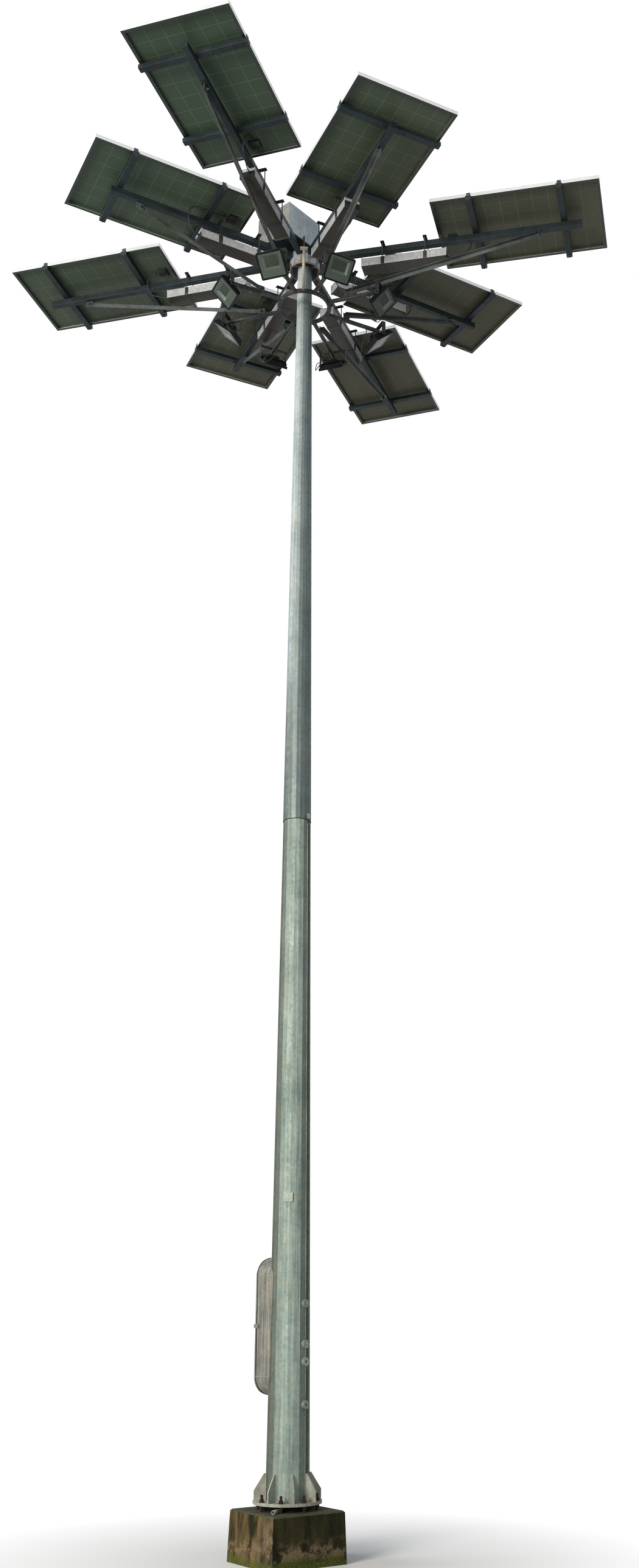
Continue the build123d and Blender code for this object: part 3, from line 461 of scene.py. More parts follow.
def weathered_zinc(name, pale, deep, stain, stained=0.4, spangle_mm=14, metallic=0.2,
                   roughness=0.5, runs_share=0.1, painted_light_sides=()):
    """Hot-dip zinc gone dull: crystal spangle, upright rain runs, blotches and stains.

    Each painted-light side gives an azimuth, the cosines where its painted tone starts and is
    full, and the tone.
    """
    material, tree, shader, spot = new_material(name)
    # Spangle: flat crystals, each with its own slight tone and dullness.
    crystal = add(tree, "TexVoronoi", Vector=spot, Scale=1000 / spangle_mm)
    tone_of = add(tree, "SeparateColor", Color=crystal.outputs["Color"])
    # Rain runs, about 26 mm wide and drawn out to half a metre, and blotches of 310 mm.
    rain = add(tree, "Mapping", Vector=spot, Scale=(38.0, 38.0, 1.7))
    runs = add(tree, "TexNoise", Vector=rain, Scale=1.0, Detail=4.0, Roughness=0.6)
    blotch = add(tree, "TexNoise", Vector=spot, Scale=1000 / 312.5, Detail=6.0, Roughness=0.6)
    mixed = add(tree, "Mix", data_type="FLOAT", _0=runs_share, _2=blotch, _3=runs)
    lit = add(tree, "MapRange", Value=mixed, From_Min=0.34, From_Max=0.66)
    zinc = add(tree, "Mix", _0=lit, _6=deep, _7=pale)
    facet = add(tree, "MapRange", Value=tone_of, To_Min=0.9, To_Max=1.1)
    spangled = add(tree, "Mix", blend_type="MULTIPLY", _0=1.0, _6=zinc, _7=facet)
    soil = add(tree, "TexNoise", Vector=spot, Scale=1000 / 125, Detail=8.0, Roughness=0.68)
    soil_share = add(tree, "MapRange", Value=soil, From_Min=0.52, From_Max=0.74, To_Max=stained)
    coat = add(tree, "Mix", _0=soil_share, _6=spangled, _7=stain)
    # Painted light: faces turned towards each listed azimuth are multiplied by its tone, in runs.
    for azimuth, start, full, tint in painted_light_sides:
        patchy = add(tree, "Math", operation="MULTIPLY_ADD", _0=runs, _1=0.5,
                     _2=squareness(tree, heading(azimuth), "Normal"))
        share = add(tree, "MapRange", interpolation_type="SMOOTHSTEP", Value=patchy,
                    From_Min=start + 0.25, From_Max=full + 0.25)
        coat = add(tree, "Mix", blend_type="MULTIPLY", _0=share, _6=coat, _7=tint)
    sheen = add(tree, "MapRange", Value=tone_of.outputs[1], To_Min=roughness - 0.07,
                To_Max=roughness + 0.09)
    # The zinc's own skin: shallow runs and grit a few millimetres across.
    skin = add(tree, "TexNoise", Vector=spot, Scale=1000 / 6.25, Detail=4.0)
    swell = add(tree, "Math", operation="MULTIPLY_ADD", _0=runs, _1=2.0, _2=skin)
    uneven = add(tree, "Bump", Strength=0.16, Distance=0.002, Height=swell)
    plug(shader, Base_Color=coat, Metallic=metallic, Specular_IOR_Level=0.3, Roughness=sheen,
         Normal=uneven)
    return material


# Dipped plate, matt with years of dust, so that its spangle hardly shows.
flange_zinc = weathered_zinc("dusty_galvanised_plate", "#babdb1", "#828879", "#7f7156",
                             stained=0.5, spangle_mm=16, roughness=0.6, runs_share=0.3)
finish_with(flange_zinc, "base_flange", "base_gussets")

# Weld metal galvanised over: brighter and smoother than the plate, with fine crystals.
weld_zinc = weathered_zinc("galvanised_weld_metal", "#a9ada6", "#787d76", "#6a5a44", stained=0.3,
                           spangle_mm=6, metallic=0.25, runs_share=0.0)


def bead(shell, path, size, wander):
    """Lays a rippled weld bead along a path in a bmesh."""
    radii = [size * (1 + 0.16 * math.sin(2.4 * i) + wander.uniform(-0.08, 0.08))
             for i in range(len(path))]
    radii[0] = radii[-1] = size * 0.4
    tube(shell, path, radii, 8)


# The lower mast's surface, which the beads are laid on.
points = []
faces = []
for name in ("mast_foot", "mast_door_length", "mast_lower"):
    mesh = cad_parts[name].data
    faces += [[len(points) + i for i in polygon.vertices] for polygon in mesh.polygons]
    points += [v.co.copy() for v in mesh.vertices]
mast_skin = BVHTree.FromPolygons(points, faces)


def mast_face(azimuth, height, aside=0.0):
    """Point on the lower mast's outside at a height, and so far aside of an azimuth."""
    out = heading(azimuth)
    return mast_skin.ray_cast(out + sideways(azimuth) * aside + up(height), -out)[0]


FLANGE_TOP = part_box("base_flange")[1].z
GUSSET_AZIMUTHS = [10 + 45 * k for k in range(8)]
GUSSET_SIDE = 0.0075
wander = random.Random(4)
shell = bmesh.new()
foot = [mast_face(a, FLANGE_TOP + 0.004) + heading(a) * 0.001 for a in range(360)]
bead(shell, foot + foot[:1], 0.006, wander)
for azimuth in GUSSET_AZIMUTHS:
    out = heading(azimuth)
    for side in (-1, 1):
        upright = [mast_face(azimuth, FLANGE_TOP + 0.008 + 0.222 * step / 39,
                             side * GUSSET_SIDE) + out * 0.001 for step in range(40)]
        bead(shell, upright, 0.0048, wander)
        level = [out * (0.205 + 0.09 * step / 16) + sideways(azimuth) * side * GUSSET_SIDE
                 + up(FLANGE_TOP + 0.001) for step in range(17)]
        bead(shell, level, 0.0045, wander)
dressed(shell, "base_welds", weld_zinc)

# --- Lower mast section ---
# Folded steel plate, 5 mm thick, closed by one long seam weld and butt-welded from lengths,
# galvanised whole. The zinc has dulled to a greenish grey with pale runs.
# Painted shade darkens the faces towards azimuth 110. The faces towards -100 take painted shade
# with a brown cast of dirt. Both are broken up by the runs.
lower_zinc = weathered_zinc("weathered_mast_galvanising", "#b0bfb7", "#687b74", "#c4b995",
                            stained=0.3, spangle_mm=26, metallic=0.12, roughness=0.55,
                            runs_share=0.62, painted_light_sides=((110, 0.02, 0.62, "#686e62"),
                                                        (-100, 0.22, 0.85, "#8f8a7c")))
finish_with(lower_zinc, "mast_foot", "mast_door_length", "mast_lower")

SEAM_AZIMUTH = 50.3
SEAM_TOP = 6.71
seam = []
z = FLANGE_TOP + 0.02
while z < SEAM_TOP:
    at = mast_face(SEAM_AZIMUTH, z)
    seam.append(Vector((at.x, at.y, z)) - heading(SEAM_AZIMUTH) * 0.0012)
    z += 0.011
shell = bmesh.new()
bead(shell, seam, 0.0050, wander)
dressed(shell, "mast_seam_weld", weld_zinc)

# Girth welds, ground nearly flush, where the lengths of the section meet. The door's
# opening breaks them.
GIRTH_HEIGHTS = (0.998, 2.505, 3.410)
LEAST_MAST_RADIUS = 0.14
shell = bmesh.new()
for height in GIRTH_HEIGHTS:
    ring = []
    for a in range(0, 363, 2):
        hit = mast_face(a, height) if a <= 360 else None
        if hit is not None and hit.xy.length >= LEAST_MAST_RADIUS:
            wave = 0.0012 * math.sin(a * 0.21)
            ring.append(hit + up(wave) - heading(a) * 0.0016)
            continue
        if len(ring) > 2:
            bead(shell, ring, 0.0026, wander)
        ring = []
dressed(shell, "mast_girth_welds", lower_zinc)

# --- Service door ---
# A stadium-shaped collar welded into the mast, a rubber gasket and a plate lid on pinned
# hinges with a folded clip. The collar's near side is smeared brown with rust and dirt.

# Dipped with the mast: the collar is streaked brown, the lid is a plain dull grey, and the
# clip is electroplated, so it is smoother and brighter.
collar_zinc = weathered_zinc("stained_galvanised_collar", "#a3a197", "#4f524c", "#b3a184",
                             stained=0.5, spangle_mm=20, metallic=0.15, runs_share=0.6)
finish_with(collar_zinc, "door_frame")
lid_zinc = weathered_zinc("dull_galvanised_lid", "#a9b2ab", "#7c8782", "#5d5442",
                          stained=0.35, spangle_mm=24, metallic=0.25, runs_share=0.5)
finish_with(lid_zinc, "service_door", "door_hinges")
clip_zinc = weathered_zinc("zinc_plated_clip", "#a3a39b", "#6f6f68", "#5a4632",
                           spangle_mm=9, metallic=0.6, roughness=0.4)
finish_with(clip_zinc, "door_latch")

# Extruded EPDM: matt black and even.
gasket_rubber = two_toned("extruded_epdm_gasket", 25, 3.0, "#060707", "#141515",
                          Roughness=0.8, Specular_IOR_Level=0.2)
finish_with(gasket_rubber, "door_gasket")

# The collar is two side plates butt-welded to two bent ends, and fillet-welded to the mast.
DOOR_AZIMUTH = -139.0
DOOR_FACE = 0.267
DOOR_MIDDLE = 2.032
DOOR_HALF_WIDTH = 0.165
DOOR_STRAIGHT = 0.444
door_out = heading(DOOR_AZIMUTH)
door_side = sideways(DOOR_AZIMUTH)
shell = bmesh.new()
for side in (-1, 1):
    for end in (-1, 1):
        path = []
        for step in range(60):
            at = (door_out * (DOOR_FACE - 0.004 - 0.004 * step)
                  + door_side * side * (DOOR_HALF_WIDTH + 0.0006)
                  + up(DOOR_MIDDLE + end * DOOR_STRAIGHT))
            if at.xy.length < mast_face(0, at.z).xy.length:
                break
            path.append(at)
        bead(shell, path, 0.0030, wander)
dressed(shell, "collar_seam_welds", weld_zinc)

# Both follow the collar's outline: up one side, over the top, down the other and under.
half = DOOR_HALF_WIDTH + 0.0004
rim = []
gap_shadow_path = []
for step in range(241):
    quarter = min(step // 60, 3)
    share = step / 60 - quarter
    sign = 1 if quarter < 2 else -1
    if quarter % 2 == 0:
        y = sign * half
        z = sign * DOOR_STRAIGHT * (2 * share - 1)
    else:
        y = sign * half * math.cos(math.pi * share)
        z = sign * (DOOR_STRAIGHT + half * math.sin(math.pi * share))
    start = door_out * DOOR_FACE + door_side * y + up(DOOR_MIDDLE + z)
    hit = mast_skin.ray_cast(start, -door_out, 0.3)[0]
    if hit is not None:
        rim.append(hit)
    gap_shadow_path.append(start - door_out * 0.0040)
shell = bmesh.new()
bead(shell, rim, 0.0040, wander)
dressed(shell, "collar_foot_weld", collar_zinc)

# A bead in the gasket's black rubber runs round the collar just behind the lid: painted
# shadow in the gap between lid and collar.
shell = bmesh.new()
tube(shell, gap_shadow_path, [0.0036] * len(gap_shadow_path), 10)
dressed(shell, "door_gap_shadow_bead", gasket_rubber)

# --- Small fittings on the mast ---
# Turned earth bosses on the seam, a square blanking plate and the pulling lug over the slip
# joint. Each boss has a weld bead round its foot.
boss_zinc = weathered_zinc("galvanised_turned_boss", "#a9b1a8", "#798178", "#55493a", stained=0.3,
                           spangle_mm=12, metallic=0.35, roughness=0.45, runs_share=0.15)
finish_with(boss_zinc, "earth_bosses", "blank_plate", "joint_lug")

BOSS_AZIMUTH = 48.5
BOSS_HEIGHTS = (2.233, 1.878, 1.724, 1.353)
BOSS_WELD_RADIUS = 0.0375
shell = bmesh.new()
for height in BOSS_HEIGHTS:
    ring = []
    for k in range(49):
        turn = 2 * math.pi * k / 48
        at = mast_face(BOSS_AZIMUTH, height + BOSS_WELD_RADIUS * math.sin(turn),
                       BOSS_WELD_RADIUS * math.cos(turn))
        ring.append(at + heading(BOSS_AZIMUTH) * 0.001)
    bead(shell, ring, 0.0030, wander)
dressed(shell, "boss_welds", weld_zinc)

# --- Upper mast section and slip joint ---
# The upper section is sleeved down over the lower one. Its zinc is brighter and bluer, with
# plain spangle, and a dark bead at the slip joint is a painted shadow line.
# Painted shade darkens the faces towards azimuth 75, broken up by the runs.
upper_zinc = weathered_zinc("blue_grey_mast_galvanising", "#c5cfce", "#8c9a9e", "#c4b48f",
                            stained=0.5, spangle_mm=30, roughness=0.48, runs_share=0.55,
                            painted_light_sides=((75, -0.35, 0.55, "#a9b2b5"),))
# Rain keeps the top metres pale. The steel below them is duller, and below 9 m its faces
# turned to the left are darkened with painted shade.
tree = upper_zinc.node_tree
shader = tree.nodes["Principled BSDF"]
coat = shader.inputs["Base Color"].links[0].from_socket
spot = add(tree, "TexCoord").outputs["Object"]
height = add(tree, "SeparateXYZ", Vector=spot).outputs["Z"]
washed = add(tree, "MapRange", interpolation_type="SMOOTHSTEP", Value=height,
             From_Min=11.4, From_Max=8.2)
dulled = add(tree, "Mix", blend_type="MULTIPLY", _0=washed, _6=coat, _7="#dfe1de")
left_facing_share = add(tree, "MapRange", interpolation_type="SMOOTHSTEP",
                Value=squareness(tree, heading(-85), "Normal"), From_Min=0.25, From_Max=0.85)
low_down = add(tree, "MapRange", interpolation_type="SMOOTHSTEP", Value=height,
               From_Min=9.0, From_Max=6.9)
both = add(tree, "Math", operation="MULTIPLY", _0=left_facing_share, _1=low_down)
# Painted shade on the faces turned to the left, below 9 m.
painted_shade_low_left = add(tree, "Mix", blend_type="MULTIPLY", _0=both, _6=dulled, _7="#8b9087")
plug(shader, Base_Color=painted_shade_low_left)
finish_with(upper_zinc, "mast_upper")

# Painted shadow: a black, dull bead with grey flecks, standing in for the slip joint's shadow.
joint_shadow_paint = two_toned("slip_joint_painted_shadow", 16.7, 3.0, "#0c0d0d", "#2c2e2c", Roughness=0.75)
joint_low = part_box("mast_upper")[0][2]
ring = [mast_face(a, joint_low - 0.002) + heading(a) * 0.0012 for a in range(0, 361, 3)]
shell = bmesh.new()
tube(shell, ring, [0.0042] * len(ring), 8)
dressed(shell, "slip_joint_shadow_bead", joint_shadow_paint)

# --- Mast head ---
# A galvanised cylinder welded to the mast top, which the panel arms pass into. Rust has
# bled from its bottom rim and run down one side.
hub_zinc, tree, shader, spot = new_material("rust_bled_galvanised_hub")
height = add(tree, "SeparateXYZ", Vector=spot).outputs["Z"]
crystal = add(tree, "TexVoronoi", Vector=spot, Scale=38.0)
tone_of = add(tree, "SeparateColor", Color=crystal.outputs["Color"])
zinc = add(tree, "Mix", _0=tone_of, _6="#93a0a5", _7="#bcc5c7")
rain = add(tree, "Mapping", Vector=spot, Scale=(26.0, 26.0, 3.0))
runs = add(tree, "TexNoise", Vector=rain, Scale=1.0, Detail=4.0)
rust_tone = add(tree, "Mix", _0=runs, _6="#4a2b1d", _7="#b08556")
# Rust shows within 30 mm of the bottom rim and in runs 38 mm wide.
hub_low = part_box("mast_hub")[0][2]
rim_rust = add(tree, "MapRange", interpolation_type="SMOOTHSTEP", Value=height,
               From_Min=hub_low + 0.03, From_Max=hub_low + 0.008)
bled = add(tree, "MapRange", Value=runs, From_Min=0.5, From_Max=0.66)
rust_share = add(tree, "Math", operation="MAXIMUM", _0=rim_rust, _1=bled)
rust_part = add(tree, "Math", operation="MULTIPLY", _0=rust_share, _1=0.8)
coat = add(tree, "Mix", _0=rust_part, _6=zinc, _7=rust_tone)
uneven = add(tree, "Bump", Strength=0.2, Distance=0.002, Height=runs)
plug(shader, Base_Color=coat, Metallic=0.35, Roughness=0.5, Normal=uneven)
finish_with(hub_zinc, "mast_hub")

# --- Panel arms, rails and their fixings ---
# Square hollow sections radiating from the head, each with two cross rails welded on top to
# carry a panel. Under the panels the old zinc is painted dark as painted shade.
# Painted shade: the dark tones stand for the shade under the panels.
shade_dark_zinc = weathered_zinc("painted_shade_galvanised_section", "#313d42", "#1b2528", "#3a332b",
                           stained=0.35, spangle_mm=18, roughness=0.55)
finish_with(shade_dark_zinc, "panel_arms", "arm_rails")

PETAL_AZIMUTHS = [-22.0, 22.0, 73.3, 115.7, 156.8, 201.5, 250.2, 294.3]
PANEL_CENTRES = [2.214, 1.527] * 4
PETALS = list(zip(PETAL_AZIMUTHS, PANEL_CENTRES))
ARM_TOP = 12.735
ARM_SIZE = 0.060
RAIL_OFFSET = 0.440
RAIL_HEIGHT = 0.040
RAIL_WIDTH = 0.060
RAIL_TOP = ARM_TOP + RAIL_HEIGHT
PANEL_LENGTH = 1.650
PANEL_WIDTH = 0.992
PANEL_DEPTH = 0.035


def framed(at, x, y, z):
    """Matrix of a frame at a point, with the given axes."""
    return Matrix.Translation(at) @ Matrix((x, y, z)).transposed().to_4x4()


def petal_frame(azimuth, radius, height):
    """Frame with x outwards on an azimuth, y sideways and z up, at a radius and height."""
    out = heading(azimuth)
    return framed(out * radius + up(height), out, sideways(azimuth), up(1))


def block(shell, at, low, high, ease):
    """Adds a brick between two corners, its edges eased, in a frame."""
    (x0, y0, z0), (x1, y1, z1) = low, high
    rings = []
    for z, e in ((z0, ease), (z0 + ease, 0), (z1 - ease, 0), (z1, ease)):
        c = e + ease
        rings.append([at @ Vector(p) for p in (
            (x0 + c, y0 + e, z), (x1 - c, y0 + e, z), (x1 - e, y0 + c, z),
            (x1 - e, y1 - c, z), (x1 - c, y1 - e, z), (x0 + c, y1 - e, z),
            (x0 + e, y1 - c, z), (x0 + e, y0 + c, z))])
    loft(shell, rings)


def round_ring(at, radii, z):
    """Points about a frame's z at a height, their radii given one by one."""
    turns = [2 * math.pi * k / len(radii) for k in range(len(radii))]
    return [at @ Vector((r * math.cos(t), r * math.sin(t), z)) for r, t in zip(radii, turns)]


def turned(shell, at, profile, sides=16):
    """Adds a turned shape from (radius, height) pairs about a frame's z."""
    loft(shell, [round_ring(at, [radius] * sides, z) for radius, z in profile])


def hex_bolt(shell, at, flats, head, washer, tail=0.0):
    """Adds a hexagon head with chamfered corners on a washer, standing on a frame's z=0."""
    apothem = flats / 2
    corner = apothem / math.cos(math.pi / 6)
    thick = flats * 0.12
    turned(shell, at, [(washer * 0.97, 0), (washer, 0.0003), (washer, thick - 0.0003),
                       (washer * 0.97, thick)], 18)
    hexagon = [corner, apothem] * 6
    loft(shell, [round_ring(at, hexagon, thick), round_ring(at, hexagon, thick + head * 0.88),
                 round_ring(at, [apothem * 0.94] * 12, thick + head)])
    if tail:
        r = flats * 0.33
        turned(shell, at, [(r, thick + head - 0.001), (r, thick + head + tail - 0.001),
                           (r * 0.8, thick + head + tail)], 12)


def facing(point, normal, roll=0.0):
    """Matrix at a point with z along a normal, turned about it by a roll."""
    return (Matrix.Translation(point)
            @ normal.to_track_quat("Z", "Y").to_matrix().to_4x4()
            @ Matrix.Rotation(roll, 4, "Z"))


# Weld beads where each rail crosses its arm.
shell = bmesh.new()
for azimuth, centre in PETALS:
    for end in (-1, 1):
        at = petal_frame(azimuth, centre + end * RAIL_OFFSET, ARM_TOP)
        for edge in (-1, 1):
            path = [at @ Vector((edge * (RAIL_WIDTH / 2 + 0.001), y / 1000, 0.0005))
                    for y in range(-27, 28, 3)]
            bead(shell, path, 0.0038, wander)
dressed(shell, "rail_welds", shade_dark_zinc)

# Panel clamps: bent plates bolted to the rails' ends, gripping the panel frames' edges.
# Small dipped parts have fine spangle and more shine.
clamp_zinc = weathered_zinc("galvanised_clamp_plate", "#5d6667", "#353e40", "#50412e",
                            spangle_mm=9, metallic=0.4, roughness=0.45)
CLAMP_HALF_LENGTH = 0.020
# The web, the lip over the frame and the foot on the rail: from, to, bottom and top.
CLAMP_PARTS = (
    (0, 0.003, 0, PANEL_DEPTH + 0.003),
    (0.003, -0.010, PANEL_DEPTH + 0.0005, PANEL_DEPTH + 0.0035),
    (0, 0.012, 0, 0.003),
)
shell = bmesh.new()
for azimuth, centre in PETALS:
    for end in (-1, 1):
        for side in (-1, 1):
            at = petal_frame(azimuth, centre + end * RAIL_OFFSET, RAIL_TOP)
            edge = side * (PANEL_WIDTH / 2 + 0.0015)
            for start, stop, low, high in CLAMP_PARTS:
                y0, y1 = sorted((edge + side * start, edge + side * stop))
                block(shell, at, (-CLAMP_HALF_LENGTH, y0, low), (CLAMP_HALF_LENGTH, y1, high),
                      0.0006)
            under = at @ Vector((0, side * (PANEL_WIDTH / 2 + 0.0075), -RAIL_HEIGHT))
            hex_bolt(shell, facing(under, up(-1), 0.3 * end), 0.010, 0.0055, 0.0075)
dressed(shell, "panel_clamps", clamp_zinc)

# --- Solar panels ---
# Sixty-cell panels in anodised aluminium frames. From below the dark backsheet shows the
# pale gaps between the cells; from above the cells lie under glass with silver busbars.

# Clear-anodised extrusion: nearly white and satin, with faint clouds of about 110 mm, and
# dark underneath with grime and painted shade.
anodised, tree, shader, spot = new_material("anodised_aluminium_frame")
fine = add(tree, "TexNoise", Vector=spot, Scale=9.0, Detail=5.0)
tone = add(tree, "Mix", _0=fine, _6="#d9dcdd", _7="#f2f4f4")
# Faces looking down are darkened: grime and painted shade.
under_face = add(tree, "MapRange", Value=squareness(tree, up(1)), From_Min=-0.2, From_Max=-0.8)
grime_and_painted_shade = add(tree, "Mix", _0=under_face, _6=tone, _7="#2f3633")
plug(shader, Base_Color=grime_and_painted_shade, Metallic=0.55, Roughness=0.38)
finish_with(anodised, "panel_frames")

# Polymer backsheet: satin, blackish green with algae on the shaded side of the mast and
# browner with dust on the other, in drifts near half a metre; white through the top.
backsheet, tree, shader, spot = new_material("dark_polymer_backsheet")
dust = add(tree, "TexNoise", Vector=spot, Scale=2.2, Detail=6.0, Roughness=0.6)
place = add(tree, "SeparateXYZ", Vector=spot)
across = add(tree, "Math", operation="ADD", _0=place.outputs["X"], _1=place.outputs["Y"])
dry = add(tree, "MapRange", Value=across, From_Min=-2.6, From_Max=2.4)
algae = add(tree, "Mix", _0=dust, _6="#465a4a", _7="#5f7362")
dusty = add(tree, "Mix", _0=dust, _6="#595949", _7="#74725f")
tone = add(tree, "Mix", _0=dry, _6=algae, _7=dusty)
top_face = add(tree, "Math", operation="GREATER_THAN", _0=squareness(tree, up(1)), _1=0.5)
sheet = add(tree, "Mix", _0=top_face, _6=tone, _7="#d5d9da")
plug(shader, Base_Color=sheet, Roughness=0.5, IOR=1.48, Specular_IOR_Level=0.3)
finish_with(backsheet, "panel_laminates")

# The gaps between the cells, seen through the backsheet as fine pale lines, drawn 4 mm wide.
gap_line = two_toned("cell_gap_in_backsheet", 200, 4.0, "#78866f", "#98a48e", Roughness=0.55)
# Monocrystalline silicon under textured glass: near black, blue where the light catches it.
silicon = two_toned("silicon_cell_under_glass", 333, 3.0, "#0b1430", "#182a52",
                    Roughness=0.4, Specular_IOR_Level=0.1, Coat_Weight=0.7,
                    Coat_Roughness=0.12)
# Tinned copper ribbon, bright and soft-edged.
ribbon = two_toned("tinned_copper_busbar", 8.3, 2.0, "#9ea3a6", "#cfd3d5",
                   Metallic=0.8, Roughness=0.35)

LAMINATE_TOP = RAIL_TOP + PANEL_DEPTH - 0.0015
LAMINATE_LOW = LAMINATE_TOP - 0.005
CELL_PITCH = 0.1585
CELL_HALF = 0.078
CELL_CUT = 0.013
BUSBAR_PITCH = 0.039
GAP_HALF = 0.002
BUSBAR_HALF = 0.0008
HALF_ROW = 5 * CELL_PITCH
HALF_RANK = 3 * CELL_PITCH


def flat(shell, at, points, height):
    """Adds one flat face from (x, y) points at a height in a frame."""
    shell.faces.new([shell.verts.new(at @ Vector((x, y, height))) for x, y in points])


def oblong(x0, x1, y0, y1):
    """Corners of a rectangle; the face looks down where x0 is the larger."""
    return [(x0, y0), (x1, y0), (x1, y1), (x0, y1)]


lines = bmesh.new()
cells = bmesh.new()
bars = bmesh.new()
for azimuth, centre in PETALS:
    at = petal_frame(azimuth, centre, 0)
    under = LAMINATE_LOW - 0.0004
    for i in range(-5, 6):
        x = i * CELL_PITCH
        flat(lines, at, oblong(x + GAP_HALF, x - GAP_HALF, -HALF_RANK, HALF_RANK), under)
    for i in range(-3, 4):
        y = i * CELL_PITCH
        flat(lines, at, oblong(HALF_ROW, -HALF_ROW, y - GAP_HALF, y + GAP_HALF), under - 0.0002)
    h = CELL_HALF
    c = CELL_CUT
    outline = [(c - h, -h), (h - c, -h), (h, c - h), (h, h - c), (h - c, h), (c - h, h),
               (-h, h - c), (-h, c - h)]
    for j in range(6):
        y = (j - 2.5) * CELL_PITCH
        for i in range(10):
            x = (i - 4.5) * CELL_PITCH
            flat(cells, at, [(x + u, y + v) for u, v in outline], LAMINATE_TOP + 0.0003)
        for k in (-1.5, -0.5, 0.5, 1.5):
            b = y + k * BUSBAR_PITCH
            flat(bars, at, oblong(0.002 - HALF_ROW, HALF_ROW - 0.002, b - BUSBAR_HALF,
                                  b + BUSBAR_HALF), LAMINATE_TOP + 0.0006)
# The faces stay flat and keep the side that they were drawn with.
dressed(lines, "cell_gap_lines", gap_line, corner=0, outward=False)
dressed(cells, "silicon_cells", silicon, corner=0, outward=False)
dressed(bars, "cell_busbars", ribbon, corner=0, outward=False)

# --- Junction boxes, panel leads and their clips ---
# Moulded black boxes on the backsheets, each with a screwed lid. A lead leaves each through
# a cable gland, held to the backsheet by a saddle, and loops down into the battery box.

# Moulded nylon: satin black, greyed by sun in patches. The mould's grain is drawn at 3 mm,
# coarse enough to show.
moulded_black = two_toned("moulded_black_nylon", 91, 3.0, "#121314", "#26282a",
                          relief=(2.9, 2.0, 0.15, 0.0005), Roughness=0.55)
finish_with(moulded_black, "junction_boxes", "head_sensor")
finish_with(sheath_rubber, "panel_leads")

BOX_DEPTH = 0.022
BOX_OFFSET = 0.088
BOX_INSET = 0.135
LID_SCREW = [(0.0035, -0.0005), (0.0035, 0.001), (0.0025, 0.0018)]
PANEL_LEAD_RADIUS = 0.005
BATTERY_SPANS = [(0.610, 1.480), (0.340, 1.150)] * 4
BATTERY_DROP = 0.085
BATTERY_HALF_DEPTH = 0.045
BATTERY_MIDDLE = ARM_TOP - ARM_SIZE - BATTERY_DROP - BATTERY_HALF_DEPTH
LEAD_HEIGHT = LAMINATE_LOW - BOX_DEPTH / 2
SADDLE_DROP = LAMINATE_LOW - LEAD_HEIGHT


def cable_gland(shell, at, bore):
    """Adds a hexagon nut and domed cap round a lead, standing on a frame's z=0."""
    hexagon = [bore * 2.0, bore * 2.0 * 0.866] * 6
    loft(shell, [round_ring(at, hexagon, 0), round_ring(at, hexagon, 0.007)])
    turned(shell, at, [(bore * 1.7, 0.007), (bore * 1.7, 0.014), (bore * 1.5, 0.018),
                       (bore * 1.12, 0.021)])


def saddle_arc(radius):
    """Half circle under the lead, as (y, z) from the backsheet."""
    return [(radius * math.cos(t * math.pi / 8),
             -SADDLE_DROP - abs(radius) * math.sin(t * math.pi / 8)) for t in range(9)]


# Saddle: a strap bent over the lead with a foot each side, on the backsheet.
SADDLE = ([(-0.017, 0.0), (-0.008, 0.0)] + saddle_arc(-0.0068)
          + [(0.008, 0.0), (0.017, 0.0), (0.017, -0.0015), (0.0085, -0.0015)]
          + saddle_arc(0.0083) + [(-0.0085, -0.0015), (-0.017, -0.0015)])
lids = bmesh.new()
glands = bmesh.new()
saddles = bmesh.new()
for (azimuth, centre), span in zip(PETALS, BATTERY_SPANS):
    box_at = centre - PANEL_LENGTH / 2 + BOX_INSET
    at = petal_frame(azimuth, box_at, LAMINATE_LOW - BOX_DEPTH)
    block(lids, at, (-0.042, BOX_OFFSET - 0.051, -0.003), (0.042, BOX_OFFSET + 0.051, 0.0005),
          0.0012)
    for rib in range(-2, 3):
        y = BOX_OFFSET + rib * 0.014
        block(lids, at, (-0.030, y - 0.002, -0.0045), (0.030, y + 0.002, -0.0025), 0.0006)
    for sx in (-1, 1):
        for sy in (-1, 1):
            head = at @ Vector((sx * 0.035, BOX_OFFSET + sy * 0.044, -0.003))
            turned(lids, facing(head, up(-1)), LID_SCREW, 12)
    lead_start = box_at + 0.046
    base = petal_frame(azimuth, lead_start, LEAD_HEIGHT) @ Vector((0, BOX_OFFSET, 0))
    entry = petal_frame(azimuth, span[1] + 0.0018, BATTERY_MIDDLE) @ Vector((0, 0.024, 0))
    for point in (base, entry):
        cable_gland(glands, facing(point, heading(azimuth)), PANEL_LEAD_RADIUS)
    over = petal_frame(azimuth, lead_start + 0.040, 0)
    loft(saddles, [[over @ Vector((x, BOX_OFFSET + y, LAMINATE_LOW + z)) for y, z in SADDLE]
                   for x in (-0.006, 0.006)])
dressed(lids, "junction_lids", moulded_black)
dressed(glands, "lead_glands", moulded_black)
dressed(saddles, "lead_saddles", moulded_black)

# --- Battery boxes and straps ---
# Galvanised sheet boxes under the arms, each hung in two bands with threaded rods. The
# sides are bright where rain reaches them and the undersides carry painted shade.

# Dipped sheet with spangle of 18 mm, smeared with dirt in patches of about 110 mm.
battery_zinc, tree, shader, spot = new_material("galvanised_battery_box_sheet")
crystal = add(tree, "TexVoronoi", Vector=spot, Scale=55.0)
tone_of = add(tree, "SeparateColor", Color=crystal.outputs["Color"])
soil = add(tree, "TexNoise", Vector=spot, Scale=9.0, Detail=6.0, Roughness=0.62)
washed = add(tree, "Mix", _0=tone_of, _6="#b3b7b9", _7="#cdd0d2")
smeared = add(tree, "MapRange", Value=soil, From_Min=0.5, From_Max=0.75, To_Max=0.35)
side_tone = add(tree, "Mix", _0=smeared, _6=washed, _7="#7d786e")
